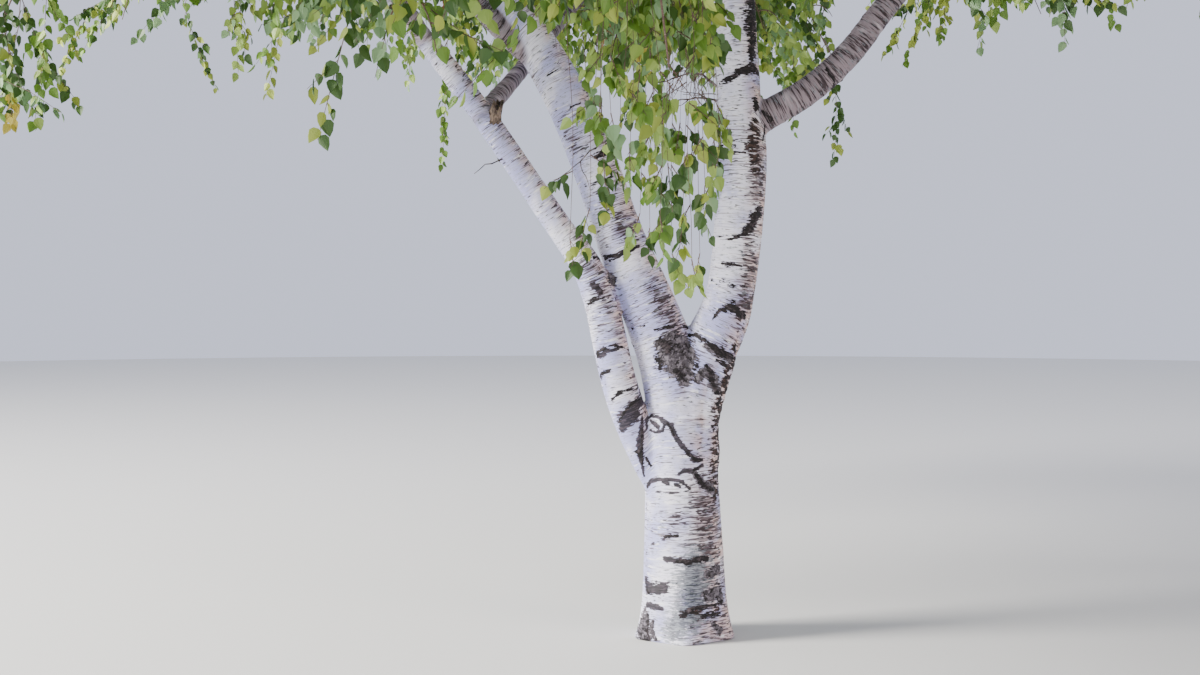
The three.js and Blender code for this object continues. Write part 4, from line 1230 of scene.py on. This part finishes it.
def hanging(start, lean, heading, lengths, own):
    """A line that bends over from its first lean to its last, as long as its space lets it be."""
    first_clear = 1 + own // len(MASSES)  # the points before it lie in the wood that bears the twig
    for length in lengths:
        stations = np.linspace(0, length, SIDE_TWIG_POINTS)
        points = make_path(start, [(0, lean[0]), (length, lean[1])], [(0, heading)], stations)["points"]
        if is_clear(own, points[first_clear:], SIDE_TWIG_CLEARANCE):
            return points
    return None


def heading_of(run):
    return math.degrees(math.atan2(run[1], run[0]))


# what bears side twigs, with its mass, their number and the stretch that has them
carriers = [(line, own, 8, (0.1, 0.94)) for line, own in twigs]
carriers += [(line, own, 8, (0.3, 1)) for own, (line, _) in enumerate(leaders)]
for own, mass in enumerate(MASSES.values()):
    path = paths[mass["limb"]]
    line = on_path(path, np.linspace(0.45, 1, 15) * path["length"])
    carriers.append((line, own + len(MASSES), 2 * round(path["length"] / LIMB_TWIG_SPACING), (0, 0.96)))
for line, own, count, span in carriers:
    heading = heading_of(line[-1] - line[0])
    for turn, share in enumerate(np.linspace(*span, count)):
        hand = 1 if turn % 2 else -1
        lean = (by_chance.uniform(58, 100), by_chance.uniform(140, 168))
        length = by_chance.uniform(420, 880) * (1.1 - 0.5 * share)
        aside = heading + hand * by_chance.uniform(30, 85)
        points = hanging(on_line(line, share), lean, aside, (length, 0.7 * length, 0.45 * length), own)
        if points is not None:
            side_twigs.append((points, own))
for line, own in side_twigs:
    heading = heading_of(line[-1] - line[0])
    count = 2 + round(np.linalg.norm(line[-1] - line[0]) / SIDE_SPRAY_SPACING)
    for k in range(1, count + 1):
        hand = 1 if k % 2 else -1
        is_tip = k == count
        turn = by_chance.uniform(-15, 15) if is_tip else hand * by_chance.uniform(35, 90)
        lean = by_chance.uniform(135, 165) if is_tip else by_chance.uniform(95, 145)
        ahead, level, _ = directions(lean, heading + turn)
        size = by_chance.uniform(0.38, 0.78)
        root = on_line(line, k / count)
        for part in (1, 0.7, 0.5):
            tests = root + ahead * (SPRAY_LENGTH * size * part * blade_shares)[:, None]
            if is_clear(own, tests, SIDE_SPRAY_CLEARANCE):
                sprays.append((root, ahead, level, size * part, own % len(MASSES)))
                break
crown_sprays = len(sprays)

# Long strands hang from the leader in front of the fork. Each one's tip, as distances across and up at
# the trunk, seen from the front, and the share of it that bears leaves.
STRANDS = [
    (-400, 2520, 0.8), (-382, 2401, 0.8), (-333, 2356, 0.8), (-292, 2290, 0.8), (-247, 2200, 0.8),
    (-202, 1906, 0.75), (-158, 1840, 0.75), (-112, 1897, 0.75), (-58, 1726, 0.7), (-9, 1897, 0.75),
    (31, 1700, 0.7), (67, 1726, 0.7), (90, 2032, 0.8), (121, 2064, 0.8), (148, 2154, 0.8),
    (-270, 2581, 0.8), (-180, 2401, 0.8), (-135, 2221, 0.8), (-77, 2131, 0.8), (-23, 2311, 0.8),
    (45, 2221, 0.8), (103, 2401, 0.8), (-202, 2536, 0.8), (-68, 2491, 0.8), (22, 2581, 0.8),
    (-517, 1794, 0.12), (-427, 1929, 0.2), (-364, 2130, 0.12),
]
front = list(MASSES).index("low_front_foliage")
front_leader = leaders[front][0]
front_limb = on_path(paths["low_front_limb"], np.linspace(0.7, 1, 6) * LIMBS["low_front_limb"]["length"])
hangers = np.vstack([front_limb, front_leader[2:]])
# short sprays all round that leader's end
END_SPRAY_TURN = 1900  # degrees round the leader, from its root to its tip
for share in (0.62, 0.72, 0.82, 0.91, 1):
    ahead, level, _ = directions(by_chance.uniform(125, 165), share * END_SPRAY_TURN)
    sprays.append((on_line(front_leader, share), ahead, level, by_chance.uniform(0.22, 0.36), front))
FIRST_HOLD, GOLDEN_SHARE = 0.1, 0.382  # where the strands are held, spread evenly from the first
STRAND_SPACING = 112
STRAND_SWING = 26
NEAREST, FARTHEST = -1950, -1050  # in front of the trunk's middle
strand_steps = np.linspace(0, 1, 15)[:, None]
strands = []
for turn, (across, up, leafy) in enumerate(STRANDS):
    start = on_line(hangers, (turn * GOLDEN_SHARE + FIRST_HOLD) % 1)
    depth = np.clip(start[1] + by_chance.uniform(-250, 250), NEAREST, FARTHEST)
    nearer = (depth - VIEW_FROM[1]) / -VIEW_FROM[1]
    tip = np.array([
        VIEW_FROM[0] + (across - VIEW_FROM[0]) * nearer, depth, VIEW_FROM[2] + (up - VIEW_FROM[2]) * nearer
    ])
    line = start + (tip - start) * np.hstack([1 - (1 - strand_steps) ** 3] * 2 + [strand_steps ** 1.4])
    swing = np.sin(by_chance.uniform(0, 6, 2) + by_chance.uniform(5, 11, 2) * strand_steps)
    line[:, :2] += STRAND_SWING * swing * np.sin(np.pi * strand_steps)
    strands.append(line)
    count = max(2, round(leafy * np.linalg.norm(tip - start) / STRAND_SPACING))
    for k, share in enumerate(np.linspace(1 - leafy, 1, count)):
        is_tip = k == count - 1
        lean = by_chance.uniform(150, 176) if is_tip else by_chance.uniform(118, 155)
        ahead, level, _ = directions(lean, turn * 50 + k * GOLDEN_ANGLE)
        sprays.append((on_line(line, share), ahead, level, by_chance.uniform(0.11, 0.22), front))

# Twig bark: reddish brown and fairly smooth, darker where it is older. Its pale warts are drawn larger
# than they are, and 4 mm apart, so that they show.
twig_bark, rind = new_material("twig_bark")
place = add(rind, "TexCoord", outlet="Object")
blotches = add(rind, "TexNoise", {"Vector": place, "Scale": 1000 / 17, "Detail": 2.0})
warts = add(rind, "TexNoise", {"Vector": place, "Scale": 1000 / 4, "Detail": 1.0})
older = add(rind, "Mix", {0: blotches, 6: linear("#3d2a22"), 7: linear("#7a5f50")}, 2, data_type="RGBA")
pale = add(rind, "MapRange", {"Value": warts, "From Min": 0.66, "From Max": 0.72})
speckled = add(rind, "Mix", {0: pale, 6: older, 7: linear("#b3a294")}, 2, data_type="RGBA")
surface = add(rind, "BsdfPrincipled", {"Base Color": speckled, "Roughness": 0.6})
add(rind, "OutputMaterial", {"Surface": surface})


def tapering(lines, radii, sides):
    """Tubes along lines of equally many points, from the first to the last radius."""
    lines = np.array(lines)
    first, last = radii
    shares = np.broadcast_to(np.linspace(0, 1, lines.shape[1]), lines.shape[:2])
    return tubes(lines, first + (last - first) * shares, sides)


def twig_piece(name, vertices, faces):
    piece = new_piece(name, vertices, faces)
    piece.data.materials.append(twig_bark)
    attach(piece, "root")


# the radii at the root and the tip; a leader starts as thick as its limb's end
LEADER_TAPER = 0.93
TWIG_RADII, SIDE_TWIG_RADII, STRAND_RADII = (9, 2.8), (5, 2), (1.8, 0.9)
leader_lines = np.array([line for line, _ in leaders])
thinning = 1 - LEADER_TAPER * np.linspace(0, 1, LEADER_POINTS)
leader_radii = np.array([radius * thinning for _, radius in leaders])
twig_piece("twigs", *joined([
    tubes(leader_lines, leader_radii, 8),
    tapering([line for line, _ in twigs], TWIG_RADII, 6),
    tapering([line for line, _ in side_twigs], SIDE_TWIG_RADII, 3),
    tapering(strands, STRAND_RADII, 5),
]))

# The shoots

# This year's growth, thread-thin and limp, in the twigs' bark. Each spray is a shoot that sags and sways
# a little, with four side shoots that leave it by turns all round, as long as the spray is wide there.

spray_root, spray_way, spray_side, spray_size, spray_mass = (np.array(column) for column in zip(*sprays))
spray_count = len(sprays)
spray_length = SPRAY_LENGTH * spray_size
spray_over = np.cross(spray_side, spray_way)
down = np.array([0, 0, -1.0])


def unit(vectors):
    return vectors / np.linalg.norm(vectors, axis=-1, keepdims=True)


SHOOT_STEPS = 4
SWAY, SAG = 0.05, 0.05  # against the shoot's length
step_shares = np.linspace(0, 1, SHOOT_STEPS)
run = (spray_length[:, None] * step_shares)[..., None]
bow = (spray_length[:, None] * np.sin(np.pi * step_shares))[..., None]
sway = by_chance.uniform(-SWAY, SWAY, (spray_count, 2))
shoots = spray_root[:, None] + spray_way[:, None] * run
shoots += (spray_side * sway[:, :1] + spray_over * sway[:, 1:])[:, None] * bow
shoots += down * SAG * run * step_shares[:, None]


def on_shoots(lines, shares):
    """Points at shares (shoot, n) of shoots (shoot, steps, 3), and the way on from there."""
    place = np.clip(shares, 0, 1) * (lines.shape[1] - 1)
    cell = np.minimum(place.astype(int), lines.shape[1] - 2)
    part = (place - cell)[..., None]
    rows = np.arange(len(lines))[:, None]
    start, stop = lines[rows, cell], lines[rows, cell + 1]
    return start + part * (stop - start), unit(stop - start)


SIDE_SHOOTS = 4
SIDE_SHOOT_WIDTH = 0.78  # against half the spray's own width
shares = np.linspace(0.1, 0.74, SIDE_SHOOTS) + by_chance.uniform(-0.05, 0.05, (spray_count, SIDE_SHOOTS))
roots, onward = on_shoots(shoots, shares)
turns = np.radians(np.arange(SIDE_SHOOTS) * 180 + by_chance.uniform(-50, 50, (spray_count, SIDE_SHOOTS)))
out = spray_side[:, None] * np.cos(turns)[..., None] + spray_over[:, None] * np.sin(turns)[..., None]
wide = np.minimum((shares + 0.14) / SPRAY_WIDEST, (1 - shares) / (1 - SPRAY_WIDEST))
reach = SPRAY_WIDTH * SIDE_SHOOT_WIDTH * spray_size[:, None] * wide
reach = (reach * by_chance.uniform(0.75, 1.1, shares.shape)).reshape(-1, 1)
first = unit(onward + 0.95 * out).reshape(-1, 3)
last = unit(first + 0.9 * down)
roots = roots.reshape(-1, 3)
elbows = roots + first * reach * 0.5
side_shoots = np.stack([roots, elbows, elbows + last * reach * 0.5], 1)
SHOOT_RADII, SIDE_SHOOT_RADII = (2.6, 1.0), (1.5, 0.8)
twig_piece("shoots", *tapering(shoots, SHOOT_RADII, 3))
# too thin for its elbow to show, a side shoot is drawn straight
twig_piece("side_shoots", *tapering(side_shoots[:, ::2], SIDE_SHOOT_RADII, 3))

# The leaves

# A birch leaf is a thin, rounded triangle with a drawn-out tip, 50 to 60 mm long, folded a little along
# its midrib. It hangs by a stalk, too thin to be drawn, at each joint of a shoot, by turns to the left
# and right. The leaves of one spray are mostly of one green, and a few sprays are turning yellow.

LEAF_LENGTH = 58
LEAF_FOLD = 0.16


def leaves_on(lines, lengths, spacing, first_leaf):
    """Where leaves stand on shoots: the place, the shoot's direction, the hand and the row of the shoot."""
    count = int(lengths.max() / spacing) + 1
    at = first_leaf + spacing * (np.arange(count) + by_chance.uniform(-0.3, 0.3, (len(lines), count)))
    place, onward = on_shoots(lines, at / lengths[:, None])
    rows = np.broadcast_to(np.arange(len(lines))[:, None], at.shape)
    keep = at < lengths[:, None]
    hand = np.where(np.arange(count) % 2, 1, -1) * np.ones(at.shape)
    return place[keep], onward[keep], hand[keep], rows[keep]


on_main = leaves_on(shoots, spray_length, spacing=30, first_leaf=40)
on_sides = leaves_on(side_shoots, reach[:, 0], spacing=27, first_leaf=22)
place, onward, hand, leaf_spray = (np.concatenate(pair) for pair in zip(on_main, on_sides))
leaf_spray[len(on_main[3]):] //= SIDE_SHOOTS
# the crown's upper half bears fewer and slightly larger leaves than a real one, to keep their number down
UPPER_CROWN = [3200, 4800]
FEWER, LARGER = [1, 0.78], [1, 1.2]
keep = (is_open(place, spare=20) | (leaf_spray >= crown_sprays)) & is_inside(place)
keep &= by_chance.random(len(place)) < np.interp(place[:, 2], UPPER_CROWN, FEWER)
place, onward, hand, leaf_spray = (values[keep] for values in (place, onward, hand, leaf_spray))

NOT_ZERO = 1e-6  # a shoot that hangs straight down still gets a sideways direction
level = unit(np.cross(onward, down) + NOT_ZERO)
roll = by_chance.uniform(0, 2 * np.pi, len(place))
around = unit(level * (hand * 1.2)[:, None] + np.stack([np.cos(roll), np.sin(roll), 0 * roll], -1))
tip_way = unit(0.55 * around + 0.45 * onward + down * by_chance.uniform(0.35, 1.25, len(place))[:, None])
face_way = np.stack([np.cos(roll * 3), np.sin(roll * 3), by_chance.uniform(-0.2, 1.1, len(place))], -1)
face_way = unit(face_way - (face_way * tip_way).sum(axis=1, keepdims=True) * tip_way)
wide_way = np.cross(tip_way, face_way)
leaf_size = LEAF_LENGTH * by_chance.uniform(0.72, 1.12, len(place))
leaf_size *= np.interp(place[:, 2], UPPER_CROWN, LARGER)
leaf_base = place + unit(around + 0.5 * down) * (0.12 * leaf_size)[:, None]

# The dead twigs beside the right bough show through a ragged gap among the leaves in front of them. These
# are its middle across and up and half its sizes, seen from the front.
GAP_MIDDLE, GAP_HALVES = (20, 2470), (150, 90)
across, up = as_seen(leaf_base + 0.5 * leaf_size[:, None] * tip_way)
gap = ((across - GAP_MIDDLE[0]) / GAP_HALVES[0]) ** 2 + ((up - GAP_MIDDLE[1]) / GAP_HALVES[1]) ** 2
hides_twigs = (gap < leaf_size / LEAF_LENGTH) & (place[:, 1] < 0)


TIP_DROOP = 0.08  # the tip bends back by this share of the leaf's length


def leaf_corners(chosen, half_outline):
    """The corners of the chosen leaves, from the outline of a leaf's right half, base and tip included."""
    half = np.array(half_outline)
    outline = np.vstack([half, (half * [-1, 1])[-2:0:-1]])
    corners = wide_way[chosen, None] * outline[:, :1] + tip_way[chosen, None] * outline[:, 1:]
    corners = corners + face_way[chosen, None] * (LEAF_FOLD * np.abs(outline[:, :1]))
    corners[:, len(half) - 1] -= TIP_DROOP * face_way[chosen]
    return leaf_base[chosen, None] + corners * leaf_size[chosen, None, None]


# Living leaf: a thin, waxy blade with a soft gloss, plain in colour. The tones are dealt out by spray,
# with each tone's share of them. Some leaves stray to the next tone, and the strands keep to the greens.
LEAF_TONES = {
    "mid_green_leaf": ("#618529", 0.29),
    "light_green_leaf": ("#92ad50", 0.22),
    "blue_green_leaf": ("#82a473", 0.13),
    # the darker green stands for leaves in the crown's shade: painted shade, dealt out by spray
    "painted_shade_green_leaf": ("#3a5a1d", 0.24),
    "yellow_green_leaf": ("#99a944", 0.10),
    "yellow_leaf": ("#bfb04c", 0.015),
    "rusty_leaf": ("#96683a", 0.005),
}
GREENS = 5
STRAYS = 0.3
tone = by_chance.choice(len(LEAF_TONES), spray_count, p=[share for _, share in LEAF_TONES.values()])
tone[crown_sprays:] %= GREENS
tone_of_leaf = tone[leaf_spray]
strays = (tone_of_leaf < GREENS) & (by_chance.random(len(place)) < STRAYS)
tone_of_leaf[strays] = (tone_of_leaf[strays] + 1) % GREENS
leaf_materials = []
for name, (colour, _) in LEAF_TONES.items():
    leaf, blade = new_material(name)
    surface = add(blade, "BsdfPrincipled", {"Base Color": linear(colour), "Roughness": 0.5})
    add(blade, "OutputMaterial", {"Surface": surface})
    leaf_materials.append(leaf)

# The masses are shared out among pieces of leaves, from the top of the crown down. The low leaves, which
# are seen from near, have a rounder outline.
ROUND_HALF = [(0, 0), (0.29, 0.09), (0.41, 0.33), (0.24, 0.70), (0, 1)]
PLAIN_HALF = [(0, 0), (0.40, 0.24), (0.27, 0.62), (0, 1)]
ROUND_TRIANGLES, PLAIN_TRIANGLES = 6, 4
TRIANGLE_LIMIT = 196000
mass_names = list(MASSES)
leaf_mass = spray_mass[leaf_spray]
is_low = np.array([mass["limb"].startswith("low") for mass in MASSES.values()])
triangles = np.bincount(leaf_mass, minlength=len(MASSES))
triangles = triangles * np.where(is_low, ROUND_TRIANGLES, PLAIN_TRIANGLES)
groups = [[]]
for index, count in enumerate(triangles):
    is_full = triangles[groups[-1]].sum() + count > TRIANGLE_LIMIT
    if is_full or (groups[-1] and is_low[index] != is_low[groups[-1][0]]):
        groups.append([])
    groups[-1].append(index)
for number, group in enumerate(groups, 1):
    chosen = np.isin(leaf_mass, group) & ~hides_twigs
    half_outline = ROUND_HALF if is_low[group[0]] else PLAIN_HALF
    corners = leaf_corners(chosen, half_outline)
    last = len(half_outline) - 1
    halves = np.array([range(last + 1), [0, *range(last, 2 * last)]])
    faces = (halves + 2 * last * np.arange(len(corners))[:, None, None]).reshape(-1, last + 1)
    leaves = new_piece(f"leaves_{number}", corners.reshape(-1, 3), faces, smooth=False)
    for leaf in leaf_materials:
        leaves.data.materials.append(leaf)
    leaves.data.polygons.foreach_set("material_index", np.repeat(tone_of_leaf[chosen], 2).astype(np.int32))
    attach(leaves, "root")
    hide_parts(*[mass_names[index] for index in group])

# The stage

# A plain pale floor under plain soft light: an overcast sky, a large soft light from the upper left that
# brightens the left edges of the white bark, and a weak warm one from the right.

bpy.ops.mesh.primitive_circle_add(vertices=96, radius=30, fill_type="NGON")
floor = bpy.context.object
floor.name = "floor"
pale_floor, ground = new_material("pale_floor")
surface = add(ground, "BsdfPrincipled", {"Base Color": linear("#d2d2cf"), "Roughness": 0.9})
add(ground, "OutputMaterial", {"Surface": surface})
floor.data.materials.append(pale_floor)

world = bpy.data.worlds.new("overcast_sky")
bpy.context.scene.world = world
world.use_nodes = True
world.node_tree.nodes["Background"].inputs["Color"].default_value = linear("#dce1f6")
world.node_tree.nodes["Background"].inputs["Strength"].default_value = 1.15
for name, place, power, colour in [
    ("key_light", (-17, -4, 11), 13000, "#fffaf4"),
    ("fill_light", (12, -10, 6), 900, "#ffe6cc"),
]:
    light = bpy.data.lights.new(name, "AREA")
    light.shape = "DISK"
    light.size = 7
    light.energy = power
    light.color = linear(colour)[:3]
    lamp = bpy.data.objects.new(name, light)
    lamp.location = place
    lamp.rotation_euler = (Vector((0, 0, 2.5)) - Vector(place)).to_track_quat("-Z", "Y").to_euler()
    bpy.context.scene.collection.objects.link(lamp)

# the camera stands at eye height, 7.5 m in front of the trunk, and looks a little down
CAMERA_TILT = 88.2
camera_data = bpy.data.cameras.new("camera")
camera_data.lens = 50
camera_data.sensor_width = 36
camera = bpy.data.objects.new("camera", camera_data)
camera.location = np.array(VIEW_FROM) / 1000
camera.rotation_euler = (math.radians(CAMERA_TILT), 0, 0)
bpy.context.scene.collection.objects.link(camera)
bpy.context.scene.camera = camera
